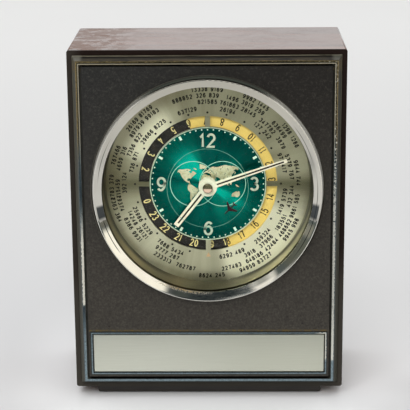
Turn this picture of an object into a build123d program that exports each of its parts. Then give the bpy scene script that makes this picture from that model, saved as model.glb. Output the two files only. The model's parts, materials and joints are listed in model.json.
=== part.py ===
from build123d import *
import os
from math import cos, pi, radians, sin

# World time table clock with a box case, a dished bezel and a 24 hour ring behind the dial.
# Millimetres. +Z is up, the dial faces -Y and the clock stands on z = 0.
# A depth is measured from the front edge of the case towards the back, so what stands
# proud of that edge has a negative depth.

# Bezel and what stands round it on the front
bezel_radius = 47.2
bezel_side_margin = 9.8
bezel_top_margin = 10.9
bezel_plate_gap = 15.9
plate_foot = 8.3
plate_height = 16.8

# Case, sized from the bezel and the plate
case_width = 2 * (bezel_radius + bezel_side_margin)
case_height = plate_foot + plate_height + bezel_plate_gap + 2 * bezel_radius + bezel_top_margin
case_depth = 55.5
case_wall = 3.2
rim_wall = 2.0
case_round = 1.0
foot_height = 3.7
seat_gap = 0.1
overrun = 1.0

# Front frame and its bright trim
skirt_depth = 5.0
skirt_wall = 2.5
slope_run = 1.6
crest_stand = 3.9
crest_width = 1.5
ledge_width = 2.2
ledge_stand = 2.0
trim_height = 0.5
trim_inset = 0.1
trim_round = 0.35

# Front panel
groove_width = 0.9
panel_thickness = 2.0
panel_front = -(ledge_stand + panel_thickness)
panel_back = -ledge_stand

# Plate at the foot of the panel
plate_side_margin = 8.1
plate_width = case_width - 2 * plate_side_margin
plate_thickness = 0.7
plate_bevel = 0.2
plate_gap = 0.45
plate_trim_width = 0.75
plate_trim_thickness = 0.85
pocket_depth = 0.6
pocket_back = panel_front + pocket_depth

# Dial window, bezel and crystal
dial_height = foot_height + plate_foot + plate_height + bezel_plate_gap + bezel_radius
bezel_stand = 7.3
bezel_gap = 0.8
bezel_wall = 2.0
bezel_rim = 0.8
bezel_drop = 0.3
bezel_face_width = 3.5
bezel_inner_radius = bezel_radius - bezel_face_width
bezel_dish = 1.8
bezel_lip = 0.5
bezel_flange = 1.4
bezel_flange_width = 2.2
gasket_thickness = 0.25
gasket_width = 1.0
crystal_thickness = 2.0
crystal_bevel = 0.3
window_radius = bezel_radius + bezel_gap
window_bevel = 0.3

# Dial
dial_front = 7.4
dial_thickness = 0.8
dial_view_inset = 0.85
dial_view_radius = bezel_inner_radius - dial_view_inset
dial_inset = 1.2
dial_radius = bezel_radius - dial_inset
ring_window_inner = 24.6
ring_window_outer = 29.1
spoke_width = 2.1
centre_dial_radius = 24.45
centre_dial_thickness = 0.3
centre_dial_bevel = 0.2
reflector_draft = 0.7
reflector_flange = 1.6
reflector_foot = 2.0
reflector_clamp_margin = 0.7

# Carrier behind the dial
carrier_side_gap = 3.8
carrier_size = case_width - 2 * (case_wall + carrier_side_gap)
carrier_round = 6.0
carrier_thickness = 3.0
carrier_hole_inset = 4.5
carrier_hole_spacing = carrier_size - 2 * carrier_hole_inset
carrier_boss_radius = 3.2
skirt_ring_wall = 3.2

# Screws
screw_radius = 1.2
screw_gap = 0.05
screw_head_radius = 2.4
screw_head_height = 1.6
screw_hole_radius = 1.4
screw_bite = 5.0
screw_slot_width = 0.6
screw_slot_depth = 0.6

# Motion work, from the front of the stack to the back
running_gap = 0.05
fit_gap = 0.03
cap_radius = 2.1
cap_height = 0.8
cap_round = 0.74
disc_front = 0.0
disc_thickness = 0.6
disc_radius = 17.0
minute_hand_front = 1.2
hour_hand_front = 3.7
hub_thickness = 0.7
hub_radius = 3.8
blade_thickness = 0.4
blade_inset = 0.15
hand_slot_width = 0.6
hand_slot_depth = 0.15
hand_slot_start = 6.0
hand_slot_margin = 1.6
minute_hand_length = 34.8
minute_hand_root = 2.6
minute_hand_tip = 1.4
minute_hand_angle = 71.0
hour_hand_length = 21.9
hour_hand_root = 3.1
hour_hand_tip = 2.3
hour_hand_angle = 218.0
seconds_arbor_radius = 0.5
centre_tube_inner = 0.6
centre_tube_outer = 1.1
cannon_radius = 2.2
cannon_end_radius = 1.8
hour_pipe_inner = 2.3
hour_pipe_radius = 3.0
hour_end_radius = 2.7
pipe_end = 0.2
ring_gap = 0.5
ring_thickness = 0.8
ring_outer_radius = 31.5
ring_play = 0.15
ring_gear_thickness = 1.5
ring_gear_wall = 2.0
wheel_thickness = 1.2
wheel_hub_radius = 1.9
layer_gap = 0.2
motion_layer_gap = 1.7

# Teeth of the motion work
fine_module = 0.5
coarse_module = 0.625
cannon_teeth = 10
minute_wheel_teeth = 30
minute_pinion_teeth = 10
hour_wheel_teeth = 40
idler_teeth = 20
ring_teeth = 80
setting_teeth = 10
tip_share = 0.9
root_share = 1.15
tooth_tip_share = 0.10
tooth_root_share = 0.29
minute_wheel_direction = 225.0
idler_direction = 45.0
setting_direction = 315.0

# Going train
centre_module = 0.34
centre_teeth = 64
third_pinion_teeth = 8
third_module = 0.36
third_teeth = 60
seconds_pinion_teeth = 8
rotor_module = 0.3
seconds_teeth = 50
fifth_pinion_teeth = 10
fifth_teeth = 48
rotor_teeth = 8
third_direction = 90.0
fifth_direction = 180.0
rotor_direction = 180.0
thin_wheel = 0.7
fine_arbor_radius = 0.4
pivot_depth = 1.0

# Movement housing
movement_width = 64.0
movement_height = 68.0
movement_wall = 1.6
movement_round = 2.0
movement_plate_front = 15.0
movement_plate_thickness = 2.0
movement_depth = 16.0
movement_screw_inset_x = 10.0
movement_screw_inset_z = 4.5
movement_screw_x = movement_width / 2 - movement_screw_inset_x
movement_screw_z = movement_height / 2 - movement_screw_inset_z
movement_boss_radius = 2.7
bridge_thickness = 1.0
bridge_stand = 2.3
bridge_rim = 2.2
bridge_right_direction = -13.0
bridge_left_direction = 197.0
post_radius = 1.2
stud_radius = 0.9
stator_thickness = 1.4
stator_stand = 5.8
stator_half_height = 13.0
stator_bore_margin = 0.5
magnet_radius = 3.0
magnet_length = 3.0
coil_radius = 2.8
coil_length = 18.0
coil_reach = 25.5
core_width = 2.4
board_height = 6.0
board_drop = 23.0
board_stand = 10.0
board_thickness = 1.2
board_post_x = 16.0
can_width = 6.0
can_height = 2.4
can_depth = 1.6
can_x = 14.0
can_round = 0.7

# Battery and its box
battery_radius = 13.1
battery_length = 48.5
nub_radius = 2.75
nub_length = 1.5
battery_bevel = 0.4
battery_box_wall = 1.6
battery_play = 0.2
battery_base_gap = 0.9
contact_thickness = 0.4
contact_plate_size = 10.0
contact_tail_width = 4.0
contact_tail_inset = 0.8
leaf_reach = 5.2
leaf_width = 5.0
leaf_foot_width = 0.52
leaf_slant = 0.12
slot_gap = 0.1

# Back of the case
cover_thickness = 2.4
cover_inset = 0.5
cover_screw_inset = 5.4
cover_boss_radius = 3.2
cover_boss_length = 12.0
door_rest = 0.7
door_gap = 0.2
door_rib_count = 3
door_rib_length = 16.0
door_rib_width = 0.8
door_rib_height = 0.4
door_rib_pitch = 2.4
setting_arbor_radius = 1.2
setting_arbor_gap = 0.15
arbor_hole_radius = setting_arbor_radius + setting_arbor_gap
knob_stand = 5.0
knob_radius = 6.5
knob_gap = 0.5
knob_ridges = 20
knob_ridge_height = 0.5
knob_valley_share = 0.5
knob_bevel = 0.6
knob_cap = 1.5

# Plinth and feet
plinth_side_setback = 9.0
plinth_width = case_width - 2 * plinth_side_setback
plinth_setback = 2.0
plinth_back_setback = 2.0
plinth_wall = 2.4
plinth_deck = 1.4
plinth_round = 1.0
pad_radius = 4.0
pad_stand = 0.4
pad_depth = 1.0
pad_boss_radius = 5.5
pad_inset = 8.0
plinth_screw_spacing = 56.0
plinth_screw_rows = 28.0
plinth_head_height = 1.2

# The origin lies under the middle of the whole depth
overall_depth = bezel_stand + case_depth + knob_stand
front_reach = overall_depth / 2 - bezel_stand
dial_place = (0, dial_height)
case_middle = (0, foot_height + case_height / 2)


def facing(depth, place=(0, 0)):
    """A plane that faces the viewer at this depth, with its origin over x and z of the place."""
    x, z = place
    return Plane(origin=(x, depth - front_reach, z), x_dir=(1, 0, 0), z_dir=(0, -1, 0))


def turning(place=dial_place):
    """A plane for turned profiles: its x is the radius and its y is the depth."""
    x, z = place
    return Plane(origin=(x, -front_reach, z), x_dir=(1, 0, 0), z_dir=(0, 0, 1))


def spindle(place=dial_place):
    """The axis that turned profiles go round."""
    x, z = place
    return Axis((x, -front_reach, z), (0, 1, 0))


def beside(place, direction, distance):
    """The place at a distance from another, in a direction counted from +X towards +Z."""
    x, z = place
    return (x + distance * cos(radians(direction)), z + distance * sin(radians(direction)))


def disc(place, radius, front, back, mode=Mode.ADD):
    """A round slab between two depths."""
    with BuildSketch(facing(back, place)) as outline:
        Circle(radius)
    extrude(outline.sketch, amount=back - front, mode=mode)


def slab(place, width, height, front, back, corner=0, mode=Mode.ADD):
    """A rectangular slab between two depths, with round corners where a corner is given."""
    with BuildSketch(facing(back, place)) as outline:
        if corner > 0:
            RectangleRounded(width, height, corner)
        else:
            Rectangle(width, height)
    extrude(outline.sketch, amount=back - front, mode=mode)


def case_slab(inset, front, back, mode=Mode.ADD):
    """A slab with the outline of the case, drawn in by an inset all round."""
    slab(case_middle, case_width - 2 * inset, case_height - 2 * inset, front, back, mode=mode)


def turned(points, place=dial_place, mode=Mode.ADD):
    """A turned solid from a profile of radius and depth."""
    with BuildSketch(turning(place)) as profile:
        with BuildLine():
            Polyline(*points, close=True)
        make_face()
    revolve(profile.sketch, axis=spindle(place), mode=mode)


def tooth_points(teeth, module, turn, inward=False):
    """Corners of a toothed outline, with one tooth centred on the angle given."""
    pitch_radius = teeth * module / 2
    side = -1 if inward else 1
    tip = pitch_radius + side * tip_share * module
    root = pitch_radius - side * root_share * module
    step = 2 * pi / teeth
    corners = [(root, -tooth_root_share), (tip, -tooth_tip_share)]
    corners += [(tip, tooth_tip_share), (root, tooth_root_share)]
    points = []
    for tooth in range(teeth):
        for radius, share in corners:
            angle = radians(turn) + (tooth + share) * step
            points.append((radius * cos(angle), radius * sin(angle)))
    return points


def toothed(place, teeth, module, turn, front, back, mode=Mode.ADD, inward=False):
    """A toothed wheel between two depths, or its space where it is cut."""
    with BuildSketch(facing(back, place)) as outline:
        with BuildLine():
            Polyline(*tooth_points(teeth, module, turn, inward), close=True)
        make_face()
    extrude(outline.sketch, amount=back - front, mode=mode)


def meshed_turn(teeth, turn, direction, next_teeth):
    """Turn of the next wheel, in this direction, so that its gap meets a tooth of the first."""
    return direction + half_turn - ((turn - direction) * teeth + half_turn) / next_teeth


def ringed_turn(teeth, turn, direction, outer_teeth):
    """Turn of an inward toothed ring round a wheel that lies in this direction."""
    return direction + ((turn - direction) * teeth + half_turn) / outer_teeth


def screw(place, front, back, head_back):
    """A screw that points at the viewer, with a slotted head at its back end."""
    disc(place, screw_radius, front, back)
    disc(place, screw_head_radius, back, head_back)
    slot_front = head_back - screw_slot_depth
    slot_length = 2 * screw_head_radius + overrun
    slab(place, slot_length, screw_slot_width, slot_front, head_back + overrun, mode=Mode.SUBTRACT)


def finish(part, label):
    """Names a finished piece and writes its file."""
    part.label = label
    export_step(part, f"parts/{label}.step")


os.makedirs("parts", exist_ok=True)

# Depths that several pieces share
cover_back = case_depth - cover_inset
cover_front = cover_back - cover_thickness
dial_back = dial_front + dial_thickness
carrier_back = dial_back + carrier_thickness
bezel_front = -bezel_stand
bezel_inner_front = bezel_front + bezel_drop + bezel_dish
bezel_lip_back = bezel_inner_front + bezel_lip
crystal_front = bezel_lip_back + gasket_thickness
crystal_back = crystal_front + crystal_thickness
flange_back = panel_back + bezel_flange
bezel_bore = bezel_radius - bezel_wall
lens_radius = bezel_bore - seat_gap

ring_front = dial_back + ring_gap
ring_back = ring_front + ring_thickness
ring_gear_back = ring_back + ring_gear_thickness
wheel_front = ring_back + layer_gap
wheel_back = wheel_front + wheel_thickness
minute_layer_front = wheel_back + motion_layer_gap
minute_layer_back = minute_layer_front + wheel_thickness
plate_back = movement_plate_front + movement_plate_thickness
movement_back = plate_back + movement_depth
movement_inner_back = movement_back - movement_wall
pivot_back = movement_inner_back + pivot_depth
axial_play = layer_gap

# Places of the wheels
motion_distance = coarse_module * (cannon_teeth + minute_wheel_teeth) / 2
idler_distance = fine_module * (hour_wheel_teeth + idler_teeth) / 2
minute_wheel_place = beside(dial_place, minute_wheel_direction, motion_distance)
idler_place = beside(dial_place, idler_direction, idler_distance)
setting_distance = coarse_module * (minute_wheel_teeth + setting_teeth) / 2
setting_place = beside(minute_wheel_place, setting_direction, setting_distance)
third_distance = third_module * (third_teeth + seconds_pinion_teeth) / 2
third_place = beside(dial_place, third_direction, third_distance)
fifth_distance = rotor_module * (seconds_teeth + fifth_pinion_teeth) / 2
fifth_place = beside(dial_place, fifth_direction, fifth_distance)
rotor_distance = rotor_module * (fifth_teeth + rotor_teeth) / 2
rotor_place = beside(fifth_place, rotor_direction, rotor_distance)

# Turns of the wheels at rest, each in mesh with the one before
half_turn = 180.0
cannon_turn = 0.0
minute_wheel_turn = meshed_turn(cannon_teeth, cannon_turn, minute_wheel_direction, minute_wheel_teeth)
hour_wheel_turn = meshed_turn(
    minute_pinion_teeth, minute_wheel_turn, minute_wheel_direction + half_turn, hour_wheel_teeth
)
idler_turn = meshed_turn(hour_wheel_teeth, hour_wheel_turn, idler_direction, idler_teeth)
ring_turn = ringed_turn(idler_teeth, idler_turn, idler_direction, ring_teeth)
setting_turn = meshed_turn(minute_wheel_teeth, minute_wheel_turn, setting_direction, setting_teeth)
seconds_turn = 0.0
third_turn = meshed_turn(seconds_pinion_teeth, seconds_turn, third_direction, third_teeth)
centre_turn = meshed_turn(third_pinion_teeth, third_turn, third_direction + half_turn, centre_teeth)
fifth_turn = meshed_turn(seconds_teeth, seconds_turn, fifth_direction, fifth_pinion_teeth)
rotor_turn = meshed_turn(fifth_teeth, fifth_turn, rotor_direction, rotor_teeth)

# Case shell: four walls with a thinner rim at each end
cover_screw_x = case_width / 2 - cover_screw_inset
cover_screw_z = case_height / 2 - cover_screw_inset
plinth_middle = (plinth_setback + case_depth - plinth_back_setback) / 2
with BuildPart() as case_shell:
    case_slab(0, 0, case_depth)
    fillet(case_shell.edges().filter_by(Axis.Y), radius=case_round)
    case_slab(rim_wall, -overrun, skirt_depth, mode=Mode.SUBTRACT)
    case_slab(case_wall, 0, case_depth, mode=Mode.SUBTRACT)
    case_slab(rim_wall, cover_front, case_depth + overrun, mode=Mode.SUBTRACT)
    for x in (-cover_screw_x, cover_screw_x):
        for z in (-cover_screw_z, cover_screw_z):
            corner = (x, case_middle[1] + z)
            disc(corner, cover_boss_radius, cover_front - cover_boss_length, cover_front)
            hole_front = cover_front - cover_boss_length + overrun
            hole_radius = screw_radius + screw_gap
            disc(corner, hole_radius, hole_front, cover_front + overrun, mode=Mode.SUBTRACT)
    with BuildSketch(Plane.XY.offset(foot_height)) as plinth_holes:
        with Locations((0, plinth_middle - front_reach)):
            with GridLocations(plinth_screw_spacing, plinth_screw_rows, 2, 2):
                Circle(screw_radius + screw_gap)
    extrude(amount=case_wall, mode=Mode.SUBTRACT)
finish(case_shell.part, "case_shell")

# Front frame: a skirt inside the case rim, a sloped face and a ledge for the panel
frame_inset = rim_wall + seat_gap
crest_inset = frame_inset + slope_run
crest_inner = crest_inset + crest_width
ledge_inner = crest_inner + ledge_width
with BuildPart() as front_frame:
    case_slab(frame_inset, 0, skirt_depth)
    for depth, inset in ((0, frame_inset), (-crest_stand, crest_inset)):
        with BuildSketch(facing(depth, case_middle)):
            Rectangle(case_width - 2 * inset, case_height - 2 * inset)
    loft()
    case_slab(crest_inner, -crest_stand - overrun, -ledge_stand, mode=Mode.SUBTRACT)
    case_slab(ledge_inner, -ledge_stand - overrun, skirt_depth + overrun, mode=Mode.SUBTRACT)
    case_slab(frame_inset + skirt_wall, 0, skirt_depth + overrun, mode=Mode.SUBTRACT)
finish(front_frame.part, "front_frame")

# Bright trim on the crest of the frame
with BuildPart() as frame_trim:
    trim_front = -crest_stand - trim_height
    case_slab(crest_inset + trim_inset, trim_front, -crest_stand)
    trim_outer_edges = frame_trim.faces().sort_by(Axis.Y)[0].edges()
    fillet(trim_outer_edges, radius=trim_round)
    case_slab(crest_inner - trim_inset, trim_front - overrun, overrun, mode=Mode.SUBTRACT)
finish(frame_trim.part, "frame_trim")

# Front panel with the dial window, the plate pocket and four bosses for the dial carrier
panel_inset = crest_inner + groove_width
plate_place = (0, foot_height + plate_foot + plate_height / 2)
pocket_margin = plate_gap + plate_trim_width
pocket_width = plate_width + 2 * pocket_margin
pocket_height = plate_height + 2 * pocket_margin
with BuildPart() as front_panel:
    case_slab(panel_inset, panel_front, panel_back)
    disc(dial_place, window_radius, panel_front - overrun, panel_back + overrun, mode=Mode.SUBTRACT)
    window_edge = front_panel.faces().sort_by(Axis.Y)[0].edges().filter_by(GeomType.CIRCLE)
    chamfer(window_edge, length=window_bevel)
    slab(
        plate_place,
        pocket_width + 2 * slot_gap,
        pocket_height + 2 * slot_gap,
        panel_front - overrun,
        pocket_back,
        mode=Mode.SUBTRACT,
    )
    with BuildSketch(facing(dial_back, dial_place)) as bosses:
        with GridLocations(carrier_hole_spacing, carrier_hole_spacing, 2, 2):
            Circle(carrier_boss_radius)
    extrude(amount=dial_back - panel_back)
    with BuildSketch(facing(dial_back, dial_place)) as boss_holes:
        with GridLocations(carrier_hole_spacing, carrier_hole_spacing, 2, 2):
            Circle(screw_radius + screw_gap)
    extrude(amount=screw_bite + overrun, mode=Mode.SUBTRACT)
finish(front_panel.part, "front_panel")

# Trim ring round the plate
trim_ring_front = pocket_back - plate_trim_thickness
with BuildPart() as plate_trim:
    slab(plate_place, pocket_width, pocket_height, trim_ring_front, pocket_back)
    trim_inner_width = plate_width + 2 * plate_gap
    trim_inner_height = plate_height + 2 * plate_gap
    slab(
        plate_place,
        trim_inner_width,
        trim_inner_height,
        trim_ring_front - overrun,
        pocket_back + overrun,
        mode=Mode.SUBTRACT,
    )
finish(plate_trim.part, "plate_trim")

# Bare brushed plate
with BuildPart() as front_plate:
    slab(plate_place, plate_width, plate_height, pocket_back - plate_thickness, pocket_back)
    chamfer(front_plate.faces().sort_by(Axis.Y)[0].edges(), length=plate_bevel)
finish(front_plate.part, "front_plate")

# Bezel: a dished face inside a round rim, a wall through the panel and a flange behind it
flange_radius = window_radius + bezel_flange_width - bezel_gap
dish_outer = bezel_radius - bezel_rim
with BuildPart() as bezel:
    with BuildSketch(turning()) as bezel_profile:
        with BuildLine():
            rim_base = (bezel_radius, bezel_front + bezel_rim / 2)
            rim_top = (bezel_radius - bezel_rim / 2, bezel_front)
            rim_foot = (dish_outer, bezel_front + bezel_drop)
            ThreePointArc(
                rim_base,
                (
                    bezel_radius - bezel_rim / 2 + bezel_rim / 2 * cos(pi / 4),
                    bezel_front + bezel_rim / 2 - bezel_rim / 2 * sin(pi / 4),
                ),
                rim_top,
            )
            Polyline(
                rim_top,
                rim_foot,
                (bezel_inner_radius, bezel_inner_front),
                (bezel_inner_radius, bezel_lip_back),
                (bezel_bore, bezel_lip_back),
                (bezel_bore, flange_back),
                (flange_radius, flange_back),
                (flange_radius, panel_back),
                (bezel_radius, panel_back),
                rim_base,
            )
        make_face()
    revolve(axis=spindle())
finish(bezel.part, "bezel")

# Gasket between the bezel lip and the crystal
with BuildPart() as crystal_gasket:
    disc(dial_place, lens_radius, bezel_lip_back, crystal_front)
    gasket_bore = lens_radius - gasket_width
    disc(dial_place, gasket_bore, bezel_lip_back - overrun, crystal_front + overrun, mode=Mode.SUBTRACT)
finish(crystal_gasket.part, "crystal_gasket")

# Crystal
with BuildPart() as crystal:
    disc(dial_place, lens_radius, crystal_front, crystal_back)
    chamfer(crystal.edges().filter_by(GeomType.CIRCLE), length=crystal_bevel)
finish(crystal.part, "crystal")

# Reflector ring: the drafted wall from the crystal down to the dial, with a clamping flange
reflector_front_radius = dial_view_radius + reflector_draft
clamp_radius = flange_radius - reflector_clamp_margin
clamp_back = flange_back + reflector_flange
with BuildPart() as reflector_ring:
    turned(
        [
            (reflector_front_radius, crystal_back),
            (lens_radius, crystal_back),
            (lens_radius, flange_back),
            (clamp_radius, flange_back),
            (clamp_radius, clamp_back),
            (lens_radius, clamp_back),
            (lens_radius, dial_front - reflector_foot),
            (dial_radius, dial_front - reflector_foot),
            (dial_radius, dial_front),
            (dial_view_radius, dial_front),
        ]
    )
finish(reflector_ring.part, "reflector_ring")

# Dial plate with four arc windows parted by spokes
dial_bore = hour_pipe_radius + layer_gap
with BuildPart() as dial_plate:
    with BuildSketch(facing(dial_back, dial_place)):
        Circle(dial_radius)
        Circle(dial_bore, mode=Mode.SUBTRACT)
        with BuildSketch(mode=Mode.SUBTRACT):
            Circle(ring_window_outer)
            Circle(ring_window_inner, mode=Mode.SUBTRACT)
            Rectangle(2 * dial_radius, spoke_width, mode=Mode.SUBTRACT)
            Rectangle(spoke_width, 2 * dial_radius, mode=Mode.SUBTRACT)
    extrude(amount=dial_thickness)
finish(dial_plate.part, "dial_plate")

# Round centre dial with a bright bevelled rim
with BuildPart() as centre_dial:
    disc(dial_place, centre_dial_radius, dial_front - centre_dial_thickness, dial_front)
    chamfer(centre_dial.faces().sort_by(Axis.Y)[0].edges(), length=centre_dial_bevel)
    disc(dial_place, dial_bore, 0, dial_back, mode=Mode.SUBTRACT)
finish(centre_dial.part, "centre_dial")

# Day and night ring: a flat ring with inward teeth on its back
ring_gear_root = fine_module * (ring_teeth / 2 + root_share)
ring_gear_outer = ring_gear_root + ring_gear_wall
ring_bore = ring_gear_root + 2 * layer_gap
with BuildPart() as day_night_ring:
    disc(dial_place, ring_outer_radius, ring_front, ring_back)
    disc(dial_place, ring_gear_outer, ring_back, ring_gear_back)
    disc(dial_place, ring_bore, ring_front - overrun, ring_back, mode=Mode.SUBTRACT)
    toothed(
        dial_place,
        ring_teeth,
        fine_module,
        ring_turn,
        ring_back,
        ring_gear_back + overrun,
        mode=Mode.SUBTRACT,
        inward=True,
    )
finish(day_night_ring.part, "day_night_ring")

# Dial carrier: the moulding that guides the ring and joins the movement to the panel
guide_radius = ring_gear_outer + running_gap
pocket_radius = ring_outer_radius + ring_play
guide_floor = ring_back + ring_play
skirt_ring_outer = guide_radius + skirt_ring_wall
with BuildPart() as dial_carrier:
    slab(dial_place, carrier_size, carrier_size, dial_back, carrier_back, corner=carrier_round)
    disc(dial_place, skirt_ring_outer, carrier_back, movement_plate_front)
    with BuildSketch(facing(movement_plate_front, dial_place)) as carrier_posts:
        with GridLocations(2 * movement_screw_x, 2 * movement_screw_z, 2, 2):
            Circle(movement_boss_radius)
    extrude(amount=movement_plate_front - carrier_back)
    disc(dial_place, pocket_radius, dial_back - overrun, guide_floor, mode=Mode.SUBTRACT)
    disc(dial_place, guide_radius, 0, movement_plate_front + overrun, mode=Mode.SUBTRACT)
    with BuildSketch(facing(movement_plate_front, dial_place)) as post_holes:
        with GridLocations(2 * movement_screw_x, 2 * movement_screw_z, 2, 2):
            Circle(screw_radius + screw_gap)
    extrude(amount=screw_bite, mode=Mode.SUBTRACT)
    with BuildSketch(facing(carrier_back, dial_place)) as ear_holes:
        with GridLocations(carrier_hole_spacing, carrier_hole_spacing, 2, 2):
            Circle(screw_hole_radius)
    extrude(amount=carrier_thickness, mode=Mode.SUBTRACT)
finish(dial_carrier.part, "dial_carrier")

# Screws that hold the carrier to the panel bosses
half_spacing = carrier_hole_spacing / 2
with BuildPart() as carrier_screws:
    for x in (-half_spacing, half_spacing):
        for z in (-half_spacing, half_spacing):
            corner = (x, dial_height + z)
            screw(corner, dial_back - screw_bite, carrier_back, carrier_back + screw_head_height)
finish(carrier_screws.part, "carrier_screws")

# Cannon pinion: the pipe that carries the minute hand
minute_hand_back = minute_hand_front + hub_thickness
cannon_collar_back = movement_plate_front - axial_play
with BuildPart() as cannon_pinion:
    disc(dial_place, cannon_end_radius, minute_hand_front - pipe_end, minute_hand_back)
    disc(dial_place, cannon_radius, minute_hand_back, cannon_collar_back)
    pinion_front = minute_layer_front - layer_gap
    toothed(dial_place, cannon_teeth, coarse_module, cannon_turn, pinion_front, cannon_collar_back)
    cannon_bore = centre_tube_outer + running_gap
    disc(dial_place, cannon_bore, 0, movement_plate_front, mode=Mode.SUBTRACT)
finish(cannon_pinion.part, "cannon_pinion")

# Hour wheel with its pipe round the cannon pinion
hour_hand_back = hour_hand_front + hub_thickness
with BuildPart() as hour_wheel:
    disc(dial_place, hour_end_radius, hour_hand_front - pipe_end, hour_hand_back)
    disc(dial_place, hour_pipe_radius, hour_hand_back, minute_layer_front - 2 * layer_gap)
    toothed(dial_place, hour_wheel_teeth, fine_module, hour_wheel_turn, wheel_front, wheel_back)
    disc(dial_place, hour_pipe_inner, minute_hand_back, movement_plate_front, mode=Mode.SUBTRACT)
finish(hour_wheel.part, "hour_wheel")

# Minute wheel: it turns on a stud and carries the pinion that drives the hour wheel
stud_back = movement_plate_front
with BuildPart() as minute_wheel:
    toothed(
        minute_wheel_place,
        minute_pinion_teeth,
        fine_module,
        minute_wheel_turn,
        wheel_front,
        minute_layer_front,
    )
    toothed(
        minute_wheel_place,
        minute_wheel_teeth,
        coarse_module,
        minute_wheel_turn,
        minute_layer_front,
        minute_layer_back,
    )
    disc(minute_wheel_place, wheel_hub_radius, minute_layer_back, stud_back - axial_play)
    stud_bore = stud_radius + running_gap
    disc(minute_wheel_place, stud_bore, 0, stud_back, mode=Mode.SUBTRACT)
finish(minute_wheel.part, "minute_wheel")

# Idler between the hour wheel and the ring
with BuildPart() as idler_wheel:
    toothed(idler_place, idler_teeth, fine_module, idler_turn, wheel_front, wheel_back)
    disc(idler_place, wheel_hub_radius, wheel_back, stud_back - axial_play)
    disc(idler_place, stud_bore, 0, stud_back, mode=Mode.SUBTRACT)
finish(idler_wheel.part, "idler_wheel")


def hand_blade(length, root_width, tip_width, angle, front):
    """A tapered hand on a round hub, with a slot line down its face, at a clock angle."""
    direction = radians(90 - angle)
    along = (cos(direction), sin(direction))
    across = (-sin(direction), cos(direction))
    with BuildSketch(facing(front + hub_thickness, dial_place)) as hub:
        Circle(hub_radius)
    extrude(hub.sketch, amount=hub_thickness)
    blade_front = front + blade_inset
    outline = []
    for reach, width in ((0, -root_width), (length, -tip_width), (length, tip_width), (0, root_width)):
        x = along[0] * reach + across[0] * width / 2
        z = along[1] * reach + across[1] * width / 2
        outline.append((x, z))
    with BuildSketch(facing(blade_front + blade_thickness, dial_place)) as blade:
        with BuildLine():
            Polyline(*outline, close=True)
        make_face()
    extrude(blade.sketch, amount=blade_thickness)
    slot_length = length - hand_slot_margin - hand_slot_start
    slot_middle = hand_slot_start + slot_length / 2
    slot_plane = facing(blade_front + hand_slot_depth, beside(dial_place, 90 - angle, slot_middle))
    with BuildSketch(slot_plane) as slot:
        SlotOverall(slot_length, hand_slot_width, rotation=90 - angle)
    extrude(slot.sketch, amount=hand_slot_depth + overrun, mode=Mode.SUBTRACT)


# Hands
with BuildPart() as minute_hand:
    hand_blade(
        minute_hand_length, minute_hand_root, minute_hand_tip, minute_hand_angle, minute_hand_front
    )
    disc(dial_place, cannon_end_radius + fit_gap, 0, minute_hand_back, mode=Mode.SUBTRACT)
finish(minute_hand.part, "minute_hand")

with BuildPart() as hour_hand:
    hand_blade(hour_hand_length, hour_hand_root, hour_hand_tip, hour_hand_angle, hour_hand_front)
    disc(dial_place, hour_end_radius + fit_gap, 0, hour_hand_back, mode=Mode.SUBTRACT)
finish(hour_hand.part, "hour_hand")

# Layers of the going train behind the movement plate
centre_wheel_front = plate_back + overrun
centre_wheel_back = centre_wheel_front + thin_wheel
bridge_front = plate_back + bridge_stand
bridge_back = bridge_front + bridge_thickness
third_wheel_front = bridge_back + thin_wheel
third_wheel_back = third_wheel_front + thin_wheel
seconds_wheel_front = third_wheel_back + stator_thickness + overrun
seconds_wheel_back = seconds_wheel_front + thin_wheel
fifth_wheel_front = seconds_wheel_back + stator_thickness
fifth_wheel_back = fifth_wheel_front + thin_wheel
magnet_back = fifth_wheel_front - overrun
magnet_front = magnet_back - magnet_length

# Centre wheel on the tube inside the cannon pinion
with BuildPart() as centre_wheel:
    disc(dial_place, centre_tube_outer, minute_hand_back + overrun, bridge_front - layer_gap)
    toothed(dial_place, centre_teeth, centre_module, centre_turn, centre_wheel_front, centre_wheel_back)
    disc(dial_place, centre_tube_inner, 0, bridge_front, mode=Mode.SUBTRACT)
finish(centre_wheel.part, "centre_wheel")

# Third wheel between the centre wheel and the seconds pinion
with BuildPart() as third_wheel:
    disc(third_place, seconds_arbor_radius, plate_back - pivot_depth, pivot_back - axial_play)
    toothed(
        third_place,
        third_pinion_teeth,
        centre_module,
        third_turn,
        centre_wheel_front - layer_gap,
        bridge_front - layer_gap,
    )
    toothed(third_place, third_teeth, third_module, third_turn, third_wheel_front, third_wheel_back)
finish(third_wheel.part, "third_wheel")

# Seconds arbor with its pinion and wheel
with BuildPart() as seconds_arbor:
    disc(dial_place, seconds_arbor_radius, disc_front - cap_height / 2, pivot_back - axial_play)
    toothed(
        dial_place,
        seconds_pinion_teeth,
        third_module,
        seconds_turn,
        bridge_back + layer_gap,
        third_wheel_back + layer_gap,
    )
    toothed(
        dial_place, seconds_teeth, rotor_module, seconds_turn, seconds_wheel_front, seconds_wheel_back
    )
finish(seconds_arbor.part, "seconds_arbor")

# Fifth wheel between the rotor and the seconds wheel
with BuildPart() as fifth_wheel:
    disc(fifth_place, fine_arbor_radius, bridge_back - pivot_depth / 2, pivot_back - axial_play)
    toothed(
        fifth_place,
        fifth_pinion_teeth,
        rotor_module,
        fifth_turn,
        seconds_wheel_front - layer_gap,
        seconds_wheel_back + layer_gap,
    )
    toothed(fifth_place, fifth_teeth, rotor_module, fifth_turn, fifth_wheel_front, fifth_wheel_back)
finish(fifth_wheel.part, "fifth_wheel")

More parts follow.
